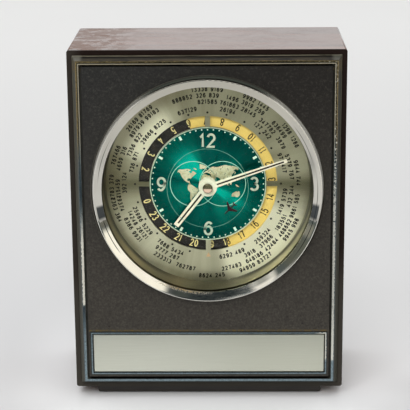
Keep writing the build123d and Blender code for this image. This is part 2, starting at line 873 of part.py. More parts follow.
# Rotor: a round magnet and its pinion
with BuildPart() as rotor:
    disc(rotor_place, fine_arbor_radius, plate_back - pivot_depth, pivot_back - axial_play)
    disc(rotor_place, magnet_radius, magnet_front, magnet_back)
    toothed(
        rotor_place,
        rotor_teeth,
        rotor_module,
        rotor_turn,
        fifth_wheel_front - layer_gap,
        fifth_wheel_back + layer_gap,
    )
finish(rotor.part, "rotor")

# Clear seconds disc with its aeroplane and the polished cap
with BuildPart() as seconds_disc:
    disc(dial_place, disc_radius, disc_front, disc_front + disc_thickness)
    bore = seconds_arbor_radius + fit_gap
    disc(dial_place, bore, disc_front - overrun, disc_front + overrun, mode=Mode.SUBTRACT)
finish(seconds_disc.part, "seconds_disc")

# The aeroplane flies clockwise with its nose ahead
aeroplane_length = 6.5
aeroplane_span = 5.7
aeroplane_thickness = 0.25
aeroplane_orbit = 12.7
aeroplane_angle = 134.0
aeroplane_half_shares = [
    (0.50, 0.0),
    (0.42, 0.035),
    (0.14, 0.05),
    (-0.16, 0.50),
    (-0.26, 0.50),
    (-0.10, 0.05),
    (-0.36, 0.035),
    (-0.46, 0.20),
    (-0.50, 0.20),
    (-0.46, 0.0),
]
with BuildPart() as aeroplane:
    aeroplane_place = beside(dial_place, 90 - aeroplane_angle, aeroplane_orbit)
    mirrored = [(along, -across) for along, across in reversed(aeroplane_half_shares[1:-1])]
    heading = radians(-aeroplane_angle)
    corners = []
    for along, across in aeroplane_half_shares + mirrored:
        ahead = along * aeroplane_length
        aside = across * aeroplane_span
        x = ahead * cos(heading) - aside * sin(heading)
        z = ahead * sin(heading) + aside * cos(heading)
        corners.append((x, z))
    with BuildSketch(facing(disc_front, aeroplane_place)):
        with BuildLine():
            Polyline(*corners, close=True)
        make_face()
    extrude(amount=aeroplane_thickness)
finish(aeroplane.part, "aeroplane")

with BuildPart() as seconds_cap:
    disc(dial_place, cap_radius, disc_front - cap_height, disc_front)
    fillet(seconds_cap.faces().sort_by(Axis.Y)[0].edges(), radius=cap_round)
    disc(dial_place, bore, disc_front - cap_height / 2, disc_front + overrun, mode=Mode.SUBTRACT)
finish(seconds_cap.part, "seconds_cap")

# Movement plate with its bearings, studs and posts
post_places = {
    "bridge": [
        beside(dial_place, bridge_right_direction, centre_teeth * centre_module / 2 + bridge_rim),
        beside(dial_place, bridge_left_direction, centre_teeth * centre_module / 2 + bridge_rim),
        beside(third_place, third_direction, third_distance - 2 * bridge_rim),
    ],
    "stator": [
        (-coil_reach, dial_height - stator_half_height + post_radius),
        (-coil_reach, dial_height + stator_half_height - post_radius),
    ],
}
stator_front = plate_back + stator_stand
with BuildPart() as movement_plate:
    slab(
        dial_place,
        movement_width,
        movement_height,
        movement_plate_front,
        plate_back,
        corner=movement_round,
    )
    for stud_place in (minute_wheel_place, idler_place):
        disc(stud_place, stud_radius, wheel_front - layer_gap / 2, movement_plate_front)
    for post_place in post_places["bridge"]:
        disc(post_place, post_radius, plate_back, bridge_front)
    for post_place in post_places["stator"]:
        disc(post_place, post_radius, plate_back, stator_front)
    tube_bearing = centre_tube_outer + running_gap
    disc(dial_place, tube_bearing, movement_plate_front - overrun, plate_back + overrun, mode=Mode.SUBTRACT)
    setting_bearing = setting_arbor_radius + running_gap
    disc(setting_place, setting_bearing, 0, plate_back + overrun, mode=Mode.SUBTRACT)
    third_bearing = seconds_arbor_radius + running_gap
    disc(third_place, third_bearing, plate_back - pivot_depth - axial_play, plate_back, mode=Mode.SUBTRACT)
    rotor_bearing = fine_arbor_radius + running_gap
    disc(rotor_place, rotor_bearing, plate_back - pivot_depth - axial_play, plate_back, mode=Mode.SUBTRACT)
    with BuildSketch(facing(plate_back, dial_place)) as plate_holes:
        with GridLocations(2 * movement_screw_x, 2 * movement_screw_z, 2, 2):
            Circle(screw_hole_radius)
    extrude(amount=movement_plate_thickness, mode=Mode.SUBTRACT)
finish(movement_plate.part, "movement_plate")

# Train bridge on three posts
with BuildPart() as train_bridge:
    with BuildSketch(facing(bridge_back)) as bridge_outline:
        for post_place in post_places["bridge"]:
            with Locations(post_place):
                Circle(bridge_rim)
        make_hull()
    extrude(amount=bridge_thickness)
    disc(dial_place, third_bearing, bridge_front - overrun, bridge_back + overrun, mode=Mode.SUBTRACT)
    disc(third_place, third_bearing, bridge_front - overrun, bridge_back + overrun, mode=Mode.SUBTRACT)
    fifth_pivot_front = bridge_back - pivot_depth / 2 - axial_play
    disc(fifth_place, rotor_bearing, fifth_pivot_front, bridge_back + overrun, mode=Mode.SUBTRACT)
finish(train_bridge.part, "train_bridge")

# Stator: a plate with the rotor bore and a bar for the coil
stator_back = stator_front + stator_thickness
rotor_x = rotor_place[0]
stator_bore = magnet_radius + stator_bore_margin
stator_right = rotor_x + 2 * magnet_radius
stator_left = -coil_reach - core_width / 2
window_left = -coil_reach + core_width / 2
window_right = rotor_x - stator_bore - stator_thickness
with BuildPart() as stator:
    stator_middle = ((stator_left + stator_right) / 2, dial_height)
    slab(
        stator_middle,
        stator_right - stator_left,
        2 * stator_half_height,
        stator_front,
        stator_back,
    )
    window_middle = ((window_left + window_right) / 2, dial_height)
    window_width = window_right - window_left
    slab(
        window_middle,
        window_width,
        coil_length + 2 * layer_gap,
        stator_front - overrun,
        stator_back + overrun,
        mode=Mode.SUBTRACT,
    )
    disc(rotor_place, stator_bore, stator_front - overrun, stator_back + overrun, mode=Mode.SUBTRACT)
finish(stator.part, "stator")

# Coil on the stator's bar
with BuildPart() as coil:
    coil_middle = (stator_front + stator_back) / 2 - front_reach
    coil_plane = Plane.XY.offset(dial_height - coil_length / 2)
    with BuildSketch(coil_plane):
        with Locations((-coil_reach, coil_middle)):
            Circle(coil_radius)
            Rectangle(core_width + 2 * fit_gap, stator_thickness + 2 * fit_gap, mode=Mode.SUBTRACT)
    extrude(amount=coil_length)
finish(coil.part, "coil")

# Battery box, open at the back, with slots for the contact tails
box_half_height = battery_radius + battery_play
battery_height = foot_height + case_wall + battery_base_gap + battery_box_wall + box_half_height
battery_place = (0, battery_height)
contact_end = (battery_length + nub_length + leaf_reach) / 2
box_half_width = contact_end + contact_thickness
box_inner_front = cover_front - 2 * box_half_height
box_front = box_inner_front - battery_box_wall
battery_depth = box_inner_front + box_half_height
tail_front = box_inner_front + contact_tail_inset
tail_back = tail_front + contact_tail_width
tail_middle_x = contact_end + contact_thickness / 2
with BuildPart() as battery_box:
    slab(
        battery_place,
        2 * (box_half_width + battery_box_wall),
        2 * (box_half_height + battery_box_wall),
        box_front,
        cover_front,
    )
    slab(
        battery_place,
        2 * box_half_width,
        2 * box_half_height,
        box_inner_front,
        cover_front + overrun,
        mode=Mode.SUBTRACT,
    )
    for side in (-1, 1):
        tail_place = (side * tail_middle_x, battery_height + box_half_height + battery_box_wall / 2)
        slab(
            tail_place,
            contact_thickness + 2 * slot_gap,
            battery_box_wall + 2 * overrun,
            tail_front - slot_gap,
            tail_back + slot_gap,
            mode=Mode.SUBTRACT,
        )
finish(battery_box.part, "battery_box")

# Battery: a round cell that lies across the box with its nub to the right
battery_end = contact_end - nub_length
battery_start = battery_end - battery_length
with BuildPart() as battery:
    battery_plane = Plane(
        origin=(battery_start, battery_depth - front_reach, battery_height),
        x_dir=(0, 1, 0),
        z_dir=(1, 0, 0),
    )
    with BuildSketch(battery_plane):
        Circle(battery_radius)
    extrude(amount=battery_length)
    chamfer(battery.edges().filter_by(GeomType.CIRCLE), length=battery_bevel)
    with BuildSketch(battery_plane.offset(battery_length)):
        Circle(nub_radius)
    extrude(amount=nub_length)
finish(battery.part, "battery")

# Contact strips: a plate against each end wall and a tail up to the circuit board
board_place = (0, dial_height - board_drop)
tail_top = board_place[1] + board_height / 4


def contact_strip(side):
    """The flat strip at one end of the battery, with its tail."""
    plate_top = battery_height + contact_plate_size / 2
    plate_bottom = battery_height - contact_plate_size / 2
    plate_back_depth = battery_depth + contact_plate_size / 2
    inner_x = side * contact_end
    strip_plane = Plane(origin=(inner_x, -front_reach, 0), x_dir=(0, 1, 0), z_dir=(1, 0, 0))
    with BuildSketch(strip_plane) as strip:
        with BuildLine():
            Polyline(
                (tail_front, plate_bottom),
                (plate_back_depth, plate_bottom),
                (plate_back_depth, plate_top),
                (tail_back, plate_top),
                (tail_back, tail_top),
                (tail_front, tail_top),
                close=True,
            )
        make_face()
    extrude(strip.sketch, amount=side * contact_thickness)


with BuildPart() as positive_contact:
    contact_strip(1)
finish(positive_contact.part, "positive_contact")

with BuildPart() as negative_contact:
    contact_strip(-1)
    leaf_foot = contact_plate_size / 2 - contact_thickness
    leaf_top = leaf_foot / 3
    leaf_x = -contact_end + leaf_reach - contact_thickness
    with BuildSketch(facing(battery_depth + leaf_width / 2, battery_place)):
        with BuildLine():
            Polyline(
                (-contact_end, -leaf_foot),
                (leaf_x + contact_thickness, -leaf_top),
                (leaf_x + contact_thickness, leaf_top),
                (-contact_end, leaf_foot),
                (-contact_end, leaf_foot - leaf_foot_width),
                (leaf_x, leaf_top - leaf_slant),
                (leaf_x, -leaf_top + leaf_slant),
                (-contact_end, -leaf_foot + leaf_foot_width),
                close=True,
            )
        make_face()
    extrude(amount=leaf_width)
finish(negative_contact.part, "negative_contact")

# Movement case: a box open to the front, with screw bosses and bearings in its back wall
board_front = plate_back + board_stand
board_back = board_front + board_thickness
with BuildPart() as movement_case:
    slab(dial_place, movement_width, movement_height, plate_back, movement_back, corner=movement_round)
    inner_width = movement_width - 2 * movement_wall
    inner_height = movement_height - 2 * movement_wall
    slab(
        dial_place,
        inner_width,
        inner_height,
        plate_back - overrun,
        movement_inner_back,
        mode=Mode.SUBTRACT,
    )
    with BuildSketch(facing(movement_inner_back, dial_place)) as case_bosses:
        with GridLocations(2 * movement_screw_x, 2 * movement_screw_z, 2, 2):
            Circle(movement_boss_radius)
    extrude(amount=movement_inner_back - plate_back)
    with BuildSketch(facing(movement_back, dial_place)) as boss_bores:
        with GridLocations(2 * movement_screw_x, 2 * movement_screw_z, 2, 2):
            Circle(screw_hole_radius)
    extrude(amount=movement_depth, mode=Mode.SUBTRACT)
    for board_post_side in (-1, 1):
        board_post = (board_post_side * board_post_x, board_place[1])
        disc(board_post, post_radius, board_back, movement_inner_back)
    for pivot_place in (dial_place, third_place):
        disc(pivot_place, third_bearing, movement_inner_back - overrun, pivot_back, mode=Mode.SUBTRACT)
    for pivot_place in (fifth_place, rotor_place):
        disc(pivot_place, rotor_bearing, movement_inner_back - overrun, pivot_back, mode=Mode.SUBTRACT)
    disc(
        setting_place,
        setting_bearing,
        movement_inner_back - overrun,
        movement_back + overrun,
        mode=Mode.SUBTRACT,
    )
    for side in (-1, 1):
        slot_place = (side * tail_middle_x, dial_height - movement_height / 2)
        slab(
            slot_place,
            contact_thickness + 2 * slot_gap,
            2 * movement_wall + overrun,
            tail_front - slot_gap,
            tail_back + slot_gap,
            mode=Mode.SUBTRACT,
        )
finish(movement_case.part, "movement_case")

# Screws through the movement into the carrier posts
with BuildPart() as movement_screws:
    for x in (-movement_screw_x, movement_screw_x):
        for z in (-movement_screw_z, movement_screw_z):
            corner = (x, dial_height + z)
            screw_front = movement_plate_front - screw_bite + overrun
            screw(corner, screw_front, movement_back, movement_back + screw_head_height)
finish(movement_screws.part, "movement_screws")

# Circuit board and its quartz can
with BuildPart() as circuit_board:
    slab(board_place, 2 * contact_end, board_height, board_front, board_back)
finish(circuit_board.part, "circuit_board")

with BuildPart() as quartz_can:
    can_place = (can_x, board_place[1])
    slab(can_place, can_width, can_height, board_front - can_depth, board_front)
    fillet(quartz_can.edges().filter_by(Axis.X).group_by(Axis.Y)[0], radius=can_round)
finish(quartz_can.part, "quartz_can")

# Back cover with the battery opening and the hole for the setting arbor
door_opening_width = 2 * (box_half_width + door_rest)
door_opening_height = 2 * (box_half_height + door_rest)
cover_corners = []
for x in (-cover_screw_x, cover_screw_x):
    for z in (-cover_screw_z, cover_screw_z):
        cover_corners.append((x, case_middle[1] + z))
head_seat = cover_back - screw_head_height
with BuildPart() as back_cover:
    case_slab(rim_wall + seat_gap, cover_front, cover_back)
    slab(
        battery_place,
        door_opening_width,
        door_opening_height,
        cover_front - overrun,
        cover_back + overrun,
        mode=Mode.SUBTRACT,
    )
    disc(setting_place, arbor_hole_radius, cover_front - overrun, cover_back + overrun, mode=Mode.SUBTRACT)
    for corner in cover_corners:
        disc(corner, screw_hole_radius, cover_front - overrun, cover_back, mode=Mode.SUBTRACT)
        recess_radius = screw_head_radius + 2 * seat_gap
        disc(corner, recess_radius, head_seat, cover_back + overrun, mode=Mode.SUBTRACT)
finish(back_cover.part, "back_cover")

# Screws of the back cover, flush in their recesses
with BuildPart() as back_screws:
    for corner in cover_corners:
        screw(corner, cover_front - cover_boss_length + 2 * overrun, head_seat, cover_back)
finish(back_screws.part, "back_screws")

# Battery door with three thumb ribs
with BuildPart() as battery_door:
    slab(
        battery_place,
        door_opening_width - 2 * door_gap,
        door_opening_height - 2 * door_gap,
        cover_front,
        cover_back,
    )
    with BuildSketch(facing(cover_back + door_rib_height, battery_place)) as ribs:
        with GridLocations(0, door_rib_pitch, 1, door_rib_count):
            SlotOverall(door_rib_length, door_rib_width)
    extrude(amount=door_rib_height)
finish(battery_door.part, "battery_door")

# Setting arbor with its pinion, and the knob outside the cover
knob_back = case_depth + knob_stand
knob_front = cover_back + knob_gap
arbor_back = knob_back - knob_cap
with BuildPart() as setting_arbor:
    disc(setting_place, setting_arbor_radius, minute_layer_front - layer_gap, arbor_back)
    toothed(
        setting_place,
        setting_teeth,
        coarse_module,
        setting_turn,
        minute_layer_front,
        minute_layer_back,
    )
finish(setting_arbor.part, "setting_arbor")

with BuildPart() as setting_knob:
    with BuildSketch(facing(knob_back, setting_place)):
        knob_points = []
        knob_valley_radius = knob_radius - knob_ridge_height
        for ridge in range(knob_ridges):
            for share, radius in ((0, knob_radius), (knob_valley_share, knob_valley_radius)):
                angle = 2 * pi * (ridge + share) / knob_ridges
                knob_points.append((radius * cos(angle), radius * sin(angle)))
        with BuildLine():
            Polyline(*knob_points, close=True)
        make_face()
    extrude(amount=knob_back - knob_front)
    turned(
        [
            (knob_radius - knob_bevel, knob_back),
            (knob_radius + overrun, knob_back - knob_bevel - overrun),
            (knob_radius + overrun, knob_back),
        ],
        place=setting_place,
        mode=Mode.SUBTRACT,
    )
    knob_bore = setting_arbor_radius + fit_gap
    disc(setting_place, knob_bore, knob_front - overrun, arbor_back, mode=Mode.SUBTRACT)
finish(setting_knob.part, "setting_knob")

# Base plinth: a tray open below, with bosses for the pads
plinth_depth = case_depth - plinth_setback - plinth_back_setback
plinth_plane = Plane.XY.offset(pad_stand)
plinth_y = plinth_middle - front_reach
pad_spacing_x = plinth_width - 2 * pad_inset
pad_spacing_y = plinth_depth - 2 * pad_inset
with BuildPart() as base_plinth:
    with BuildSketch(plinth_plane):
        with Locations((0, plinth_y)):
            Rectangle(plinth_width, plinth_depth)
    extrude(amount=foot_height - pad_stand)
    fillet(base_plinth.edges().filter_by(Axis.Y).group_by(Axis.Z)[0], radius=plinth_round)
    with BuildSketch(plinth_plane):
        with Locations((0, plinth_y)):
            Rectangle(plinth_width - 2 * plinth_wall, plinth_depth - 2 * plinth_wall)
            with GridLocations(pad_spacing_x, pad_spacing_y, 2, 2):
                Circle(pad_boss_radius, mode=Mode.SUBTRACT)
    extrude(amount=foot_height - pad_stand - plinth_deck, mode=Mode.SUBTRACT)
    with BuildSketch(plinth_plane):
        with Locations((0, plinth_y)):
            with GridLocations(pad_spacing_x, pad_spacing_y, 2, 2):
                Circle(pad_radius + seat_gap)
    extrude(amount=pad_depth, mode=Mode.SUBTRACT)
    with BuildSketch(plinth_plane):
        with Locations((0, plinth_y)):
            with GridLocations(plinth_screw_spacing, plinth_screw_rows, 2, 2):
                Circle(screw_hole_radius)
    extrude(amount=foot_height, mode=Mode.SUBTRACT)
finish(base_plinth.part, "base_plinth")

# Rubber pads
with BuildPart() as rubber_feet:
    with BuildSketch(Plane.XY):
        with Locations((0, plinth_y)):
            with GridLocations(pad_spacing_x, pad_spacing_y, 2, 2):
                Circle(pad_radius)
    extrude(amount=pad_stand + pad_depth)
finish(rubber_feet.part, "rubber_feet")

# Screws that hold the plinth to the case floor
deck_bottom = foot_height - plinth_deck
with BuildPart() as plinth_screws:
    with BuildSketch(Plane.XY.offset(deck_bottom)):
        with Locations((0, plinth_y)):
            with GridLocations(plinth_screw_spacing, plinth_screw_rows, 2, 2):
                Circle(screw_radius)
    extrude(amount=plinth_deck + case_wall)
    with BuildSketch(Plane.XY.offset(deck_bottom - plinth_head_height)):
        with Locations((0, plinth_y)):
            with GridLocations(plinth_screw_spacing, plinth_screw_rows, 2, 2):
                Circle(screw_head_radius)
    extrude(amount=plinth_head_height)
finish(plinth_screws.part, "plinth_screws")
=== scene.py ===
import json
import math
import random

import bpy
from mathutils import Matrix, Vector

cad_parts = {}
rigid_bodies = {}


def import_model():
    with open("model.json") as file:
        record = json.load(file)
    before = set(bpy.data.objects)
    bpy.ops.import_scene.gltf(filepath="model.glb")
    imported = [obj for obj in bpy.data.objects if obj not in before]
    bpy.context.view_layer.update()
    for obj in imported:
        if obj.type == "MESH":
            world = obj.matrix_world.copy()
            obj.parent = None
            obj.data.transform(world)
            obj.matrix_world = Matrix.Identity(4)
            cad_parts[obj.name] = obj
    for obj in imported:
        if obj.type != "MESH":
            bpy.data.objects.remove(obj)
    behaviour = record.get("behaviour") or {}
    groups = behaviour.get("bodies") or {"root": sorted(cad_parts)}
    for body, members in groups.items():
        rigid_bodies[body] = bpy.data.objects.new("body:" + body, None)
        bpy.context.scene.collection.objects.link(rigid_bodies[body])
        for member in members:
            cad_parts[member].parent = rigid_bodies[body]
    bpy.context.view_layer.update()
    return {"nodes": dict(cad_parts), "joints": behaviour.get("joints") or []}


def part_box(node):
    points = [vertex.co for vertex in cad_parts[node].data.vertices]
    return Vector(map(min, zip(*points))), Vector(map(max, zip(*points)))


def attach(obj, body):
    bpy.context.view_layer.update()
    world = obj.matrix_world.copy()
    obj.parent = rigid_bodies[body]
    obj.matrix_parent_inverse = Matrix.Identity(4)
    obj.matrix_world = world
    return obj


# The scene starts empty
for leftover in list(bpy.data.objects):
    bpy.data.objects.remove(leftover, do_unlink=True)

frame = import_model()

# The frame is in metres. Materials and drawings on the dial are in millimetres, and angles on the
# dial run clockwise from 12, in degrees.
mm = 0.001
full_turn = 360.0
nodes = frame["nodes"]
joints = {joint["name"]: joint for joint in frame["joints"]}
dial_centre = Vector(joints["minute_hand_turn"]["pos_m"])
case_low, case_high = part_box("case_shell")
random.seed(7)

# Sizes that materials share, in millimetres
case_right = case_high.x / mm
case_top = case_high.z / mm
case_round = 0.28
plate_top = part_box("plate_trim")[1].z / mm
wall_radius = 42.9
dial_rim = 40.5
green_radius = 24.0
bezel_low, bezel_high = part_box("bezel")
bezel_flange = 2.2
bezel_radius = (bezel_high.x - bezel_low.x) / 2 / mm - bezel_flange
hole_edge = bezel_radius + 0.8

# Where the 24 hour ring stands at rest: the angles of its 8 and of the start of day
hour_angle = full_turn / 24
eight_angle = 13.1
day_start = eight_angle - 2 * hour_angle


# Colours and node helpers

class Value:
    """Output of a node, which stands in sums as a number does."""

    def __init__(self, node, output=0):
        self.tree = node.id_data
        self.socket = node.outputs[output]

    def __add__(self, other):
        return calc("ADD", self, other)

    def __sub__(self, other):
        return calc("SUBTRACT", self, other)

    def __rsub__(self, other):
        return calc("SUBTRACT", other, self)

    def __mul__(self, other):
        return calc("MULTIPLY", self, other)

    def __truediv__(self, other):
        return calc("DIVIDE", self, other)

    def __abs__(self):
        return calc("ABSOLUTE", self)

    def __gt__(self, other):
        return calc("GREATER_THAN", self, other)

    def __lt__(self, other):
        return calc("LESS_THAN", self, other)


def feed(socket, value):
    """Links a socket to a node's output, or sets it to a number, vector or colour."""
    if isinstance(value, Value):
        value.tree.links.new(value.socket, socket)
    else:
        socket.default_value = value


def add(tree, kind, settings=None, **inputs):
    """A new node with its settings and its inputs, by name with _ for a space."""
    node = tree.nodes.new("ShaderNode" + kind)
    for name, value in (settings or {}).items():
        setattr(node, name, value)
    set_inputs(node, **inputs)
    return node


def set_inputs(node, **inputs):
    """Sets or links the inputs of a node, by name with _ for a space."""
    for name, value in inputs.items():
        feed(node.inputs[name.replace("_", " ")], value)


def calc(operation, *terms):
    """Result of a math node."""
    tree = next(term.tree for term in terms if isinstance(term, Value))
    node = add(tree, "Math", {"operation": operation})
    for socket, term in zip(node.inputs, terms):
        feed(socket, term)
    return Value(node)


def vector_calc(tree, operation, first, second, output="Vector"):
    """Result of a vector math node."""
    node = add(tree, "VectorMath", {"operation": operation})
    feed(node.inputs[0], first)
    feed(node.inputs[1], second)
    return Value(node, output)


def tint(red, green, blue):
    """Linear colour of a display colour given from 0 to 255."""
    levels = []
    for level in (red, green, blue):
        share = level / 255
        levels.append(share / 12.92 if share <= 0.04045 else ((share + 0.055) / 1.055) ** 2.4)
    return (*levels, 1.0)


def stretch(value, low, high, to_low=0.0, to_high=1.0):
    """Eases a value from one range into another."""
    node = add(
        value.tree, "MapRange", {"interpolation_type": "SMOOTHSTEP"}, Value=value,
        From_Min=low, From_Max=high, To_Min=to_low, To_Max=to_high,
    )
    return Value(node, "Result")


def mixed(factor, first, second, kind="RGBA", sides=(6, 7), result=2):
    """Blend of two colours, from the first at 0 to the second at 1, by sockets of a Mix node."""
    node = add(factor.tree, "Mix", {"data_type": kind}, Factor=factor)
    for index, value in zip(sides, (first, second)):
        feed(node.inputs[index], value)
    return Value(node, result)


def mixed_value(factor, first, second):
    """Blend of two numbers, from the first at 0 to the second at 1."""
    return mixed(factor, first, second, kind="FLOAT", sides=(2, 3), result=0)


def in_mm(tree, scale=(1.0, 1.0, 1.0), centre=Vector()):
    """The piece's own coordinates in millimetres, from a centre and with a scale along each axis."""
    moved = vector_calc(tree, "ADD", Value(add(tree, "TexCoord"), "Object"), -centre)
    return vector_calc(tree, "MULTIPLY", moved, [share / mm for share in scale])


def axes(place):
    """The three parts of a place."""
    node = add(place.tree, "SeparateXYZ", Vector=place)
    return [Value(node, axis) for axis in range(3)]


def joined(x, y, z=0.0):
    """A place from its three parts."""
    return Value(add(x.tree, "CombineXYZ", X=x, Y=y, Z=z))


def angle_of(across, up):
    """Angle clockwise from straight up, in radians."""
    return calc("ARCTAN2", across, up)


def radius_of(across, up):
    """Distance from the centre."""
    return calc("SQRT", across * across + up * up)


def noise(place, scale, detail=3.0, roughness=0.5):
    """Value of a noise texture."""
    return Value(add(place.tree, "TexNoise", Vector=place, Scale=scale, Detail=detail, Roughness=roughness))


def bumped(height, depth):
    """A normal that follows a height, where 1 stands for a depth in millimetres."""
    return Value(add(height.tree, "Bump", Height=height, Distance=depth * mm))


def inset_from(tree, name):
    """Distance from the nearest side or end of a framed piece, towards its middle."""
    low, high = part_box(name)
    across, _, height = axes(in_mm(tree))
    side = high.x / mm - abs(across)
    return calc("MINIMUM", side, calc("MINIMUM", high.z / mm - height, height - low.z / mm))


def line_at(value, middle, half, soft=0.08):
    """1 where a value lies within a half width of the middle, with soft edges."""
    return stretch(abs(value - middle), half + soft, half - soft)


def fans(angle, *lobes):
    """Sum of fans round the dial: each has an angle, a half width, a soft edge and a strength."""
    total = 0.0
    for middle, half, soft, strength in lobes:
        apart = calc("ARCCOSINE", calc("COSINE", angle - math.radians(middle)))
        total = stretch(apart, math.radians(half + soft), math.radians(half - soft), 0.0, strength) + total
    return total


def new_finish(name):
    """A new material and its node tree."""
    made = bpy.data.materials.new(name)
    made.use_nodes = True
    return made, made.node_tree


def finished(made, **inputs):
    """The material, once these inputs of its shader are set or linked."""
    set_inputs(made.node_tree.nodes["Principled BSDF"], **inputs)
    return made


# Materials

def rosewood():
    """Rosewood veneer round the case, under gloss lacquer, with dark edges front and back."""
    made, tree = new_finish("rosewood")
    half = (case_high - case_low) / 2 / mm
    place = in_mm(tree, centre=(case_low + case_high) / 2)
    across, depth, up = axes(place)
    side = abs(across) / half.x
    level = abs(up) / half.z
    on_side = side > level
    on_top = 1.0 - on_side
    along = up * on_side + across * on_top
    wander = noise(joined(along * 0.035, depth, on_side), 0.14, detail=2.0)
    streaks = noise(joined(along * 0.02, depth + wander * 16.0, on_side), 0.32, detail=6.0, roughness=0.62)
    pores = noise(joined(along * 0.12, depth, on_side), 3.2, detail=2.0)
    colour = mixed(stretch(streaks, 0.42, 0.62), tint(116, 74, 58), tint(52, 28, 22))
    colour = mixed(stretch(pores, 0.58, 0.72, 0.0, 0.55), colour, tint(38, 20, 16))
    # The left end is worn redder, and bare in patches on top
    patches = noise(place, 0.09, detail=4.0, roughness=0.6)
    left_end = stretch(across + patches * 46.0, -34.0, -8.0, 0.5, 0.0)
    colour = mixed(left_end, colour, tint(74, 36, 26))
    rubbed = noise(place, 0.16, detail=6.0, roughness=0.7)
    bare = stretch(across, -20.0, -46.0) * stretch(rubbed, 0.42, 0.54) * on_top
    colour = mixed(bare, colour, tint(96, 58, 36))
    # The edges of the board have no veneer, and are dusty low down and on the left
    outside = calc("MAXIMUM", side, level) > 0.9965
    veneer = outside * (abs(depth) < half.y - case_round)
    edge = mixed(noise(place, 0.9), tint(24, 14, 10), tint(36, 24, 19))
    dusty = calc("MAXIMUM", stretch(up, -5.0, -35.0), stretch(across, -50.0, -56.0, 0.0, 0.55))
    edge = mixed(dusty, edge, tint(60, 56, 50))
    return finished(
        made,
        Base_Color=mixed(veneer, edge, colour),
        Roughness=mixed_value(veneer, 0.5, stretch(patches, 0.35, 0.7, 0.16, 0.3)),
        Specular_IOR_Level=0.15,
        Coat_Weight=mixed_value(veneer, 0.0, mixed_value(bare, 0.88, 0.1)),
        Coat_Roughness=0.12,
        Normal=bumped(streaks + pores, 0.01),
    )


def moulded(name, colour, worn, roughness=0.45, grain=1.6, depth=0.012, coat=0.0):
    """Moulded plastic or rubber: a fine grain, and a tone that drifts a little over the piece."""
    made, tree = new_finish(name)
    place = in_mm(tree)
    fine = noise(place, grain, detail=4.0, roughness=0.6)
    tone = noise(place, 0.06) * 0.7 + fine * 0.3
    return finished(
        made,
        Base_Color=mixed(stretch(tone, 0.35, 0.65), colour, worn),
        Roughness=stretch(fine, 0.25, 0.75, roughness - 0.07, roughness + 0.07),
        Coat_Weight=coat,
        Coat_Roughness=0.12,
        Normal=bumped(fine, depth),
    )


def metal(name, colour, dull, roughness, scale, grain=(1.0, 1.0, 1.0)):
    """Bare or plated metal with a fine grain and dull marks."""
    made, tree = new_finish(name)
    fine = noise(in_mm(tree, scale=grain), scale, detail=5.0, roughness=0.65)
    marks = noise(in_mm(tree), 0.22, detail=5.0, roughness=0.6)
    return finished(
        made,
        Base_Color=mixed(stretch(marks, 0.35, 0.75), colour, dull),
        Metallic=1.0,
        Roughness=stretch(fine, 0.25, 0.8, roughness * 0.7, roughness * 1.4),
        Normal=bumped(fine, 0.004),
    )


def panel_paint():
    """Dark grained paint of the front panel, lighter low down, with dust and dark specks."""
    made, tree = new_finish("panel_paint")
    place = in_mm(tree)
    across, _, height = axes(place)
    raised = height + noise(place, 0.025, detail=2.0) * 50.0
    upper = mixed(stretch(across, -50.0, 50.0), tint(41, 41, 40), tint(30, 27, 24))
    colour = mixed(stretch(raised, 60.0, 185.0), tint(64, 60, 54), upper)
    grain = noise(place, 1.1, detail=4.0, roughness=0.75)
    colour = mixed(stretch(grain, 0.35, 0.75, 0.0, 0.6), colour, tint(24, 22, 20))
    colour = mixed(stretch(grain, 0.48, 0.3, 0.0, 0.35), colour, tint(84, 81, 73))
    spots = add(tree, "TexVoronoi", Vector=place, Scale=0.21)
    picked = Value(add(tree, "SeparateColor", Color=Value(spots, "Color")))
    near = stretch(Value(spots, "Distance"), 0.12, 0.06)
    low_down = stretch(height, 60.0, 25.0) * (picked < 0.35)
    colour = mixed(near * low_down * 0.8, colour, tint(18, 15, 14))
    colour = mixed(near * (picked > 0.975) * 0.7, colour, tint(190, 184, 166))
    # A bronze stain over the plate, and painted shade at the edge of the round hole
    stain = line_at(height, plate_top + 0.6, 0.4, 0.25) * stretch(grain, 0.4, 0.6)
    colour = mixed(stain * 0.6, colour, tint(110, 90, 40))
    dial_across, _, dial_up = axes(in_mm(tree, centre=dial_centre))
    from_hole = radius_of(dial_across, dial_up) - hole_edge
    colour = mixed(stretch(from_hole, 0.4, 0.3), colour, tint(44, 40, 34))
    # Painted highlight: a thin light line on the hole's lip, at the upper left
    upper_left = stretch(height - across, 80.0, 150.0, 0.1, 0.5)
    painted_lip_highlight = line_at(from_hole, 0.28, 0.07) * upper_left
    colour = mixed(painted_lip_highlight, colour, tint(150, 146, 132))
    pimples = Value(add(tree, "TexVoronoi", Vector=place, Scale=2.6), "Distance")
    return finished(
        made,
        Base_Color=colour,
        Roughness=0.62,
        Specular_IOR_Level=0.3,
        Normal=bumped(grain + pimples, 0.05),
    )


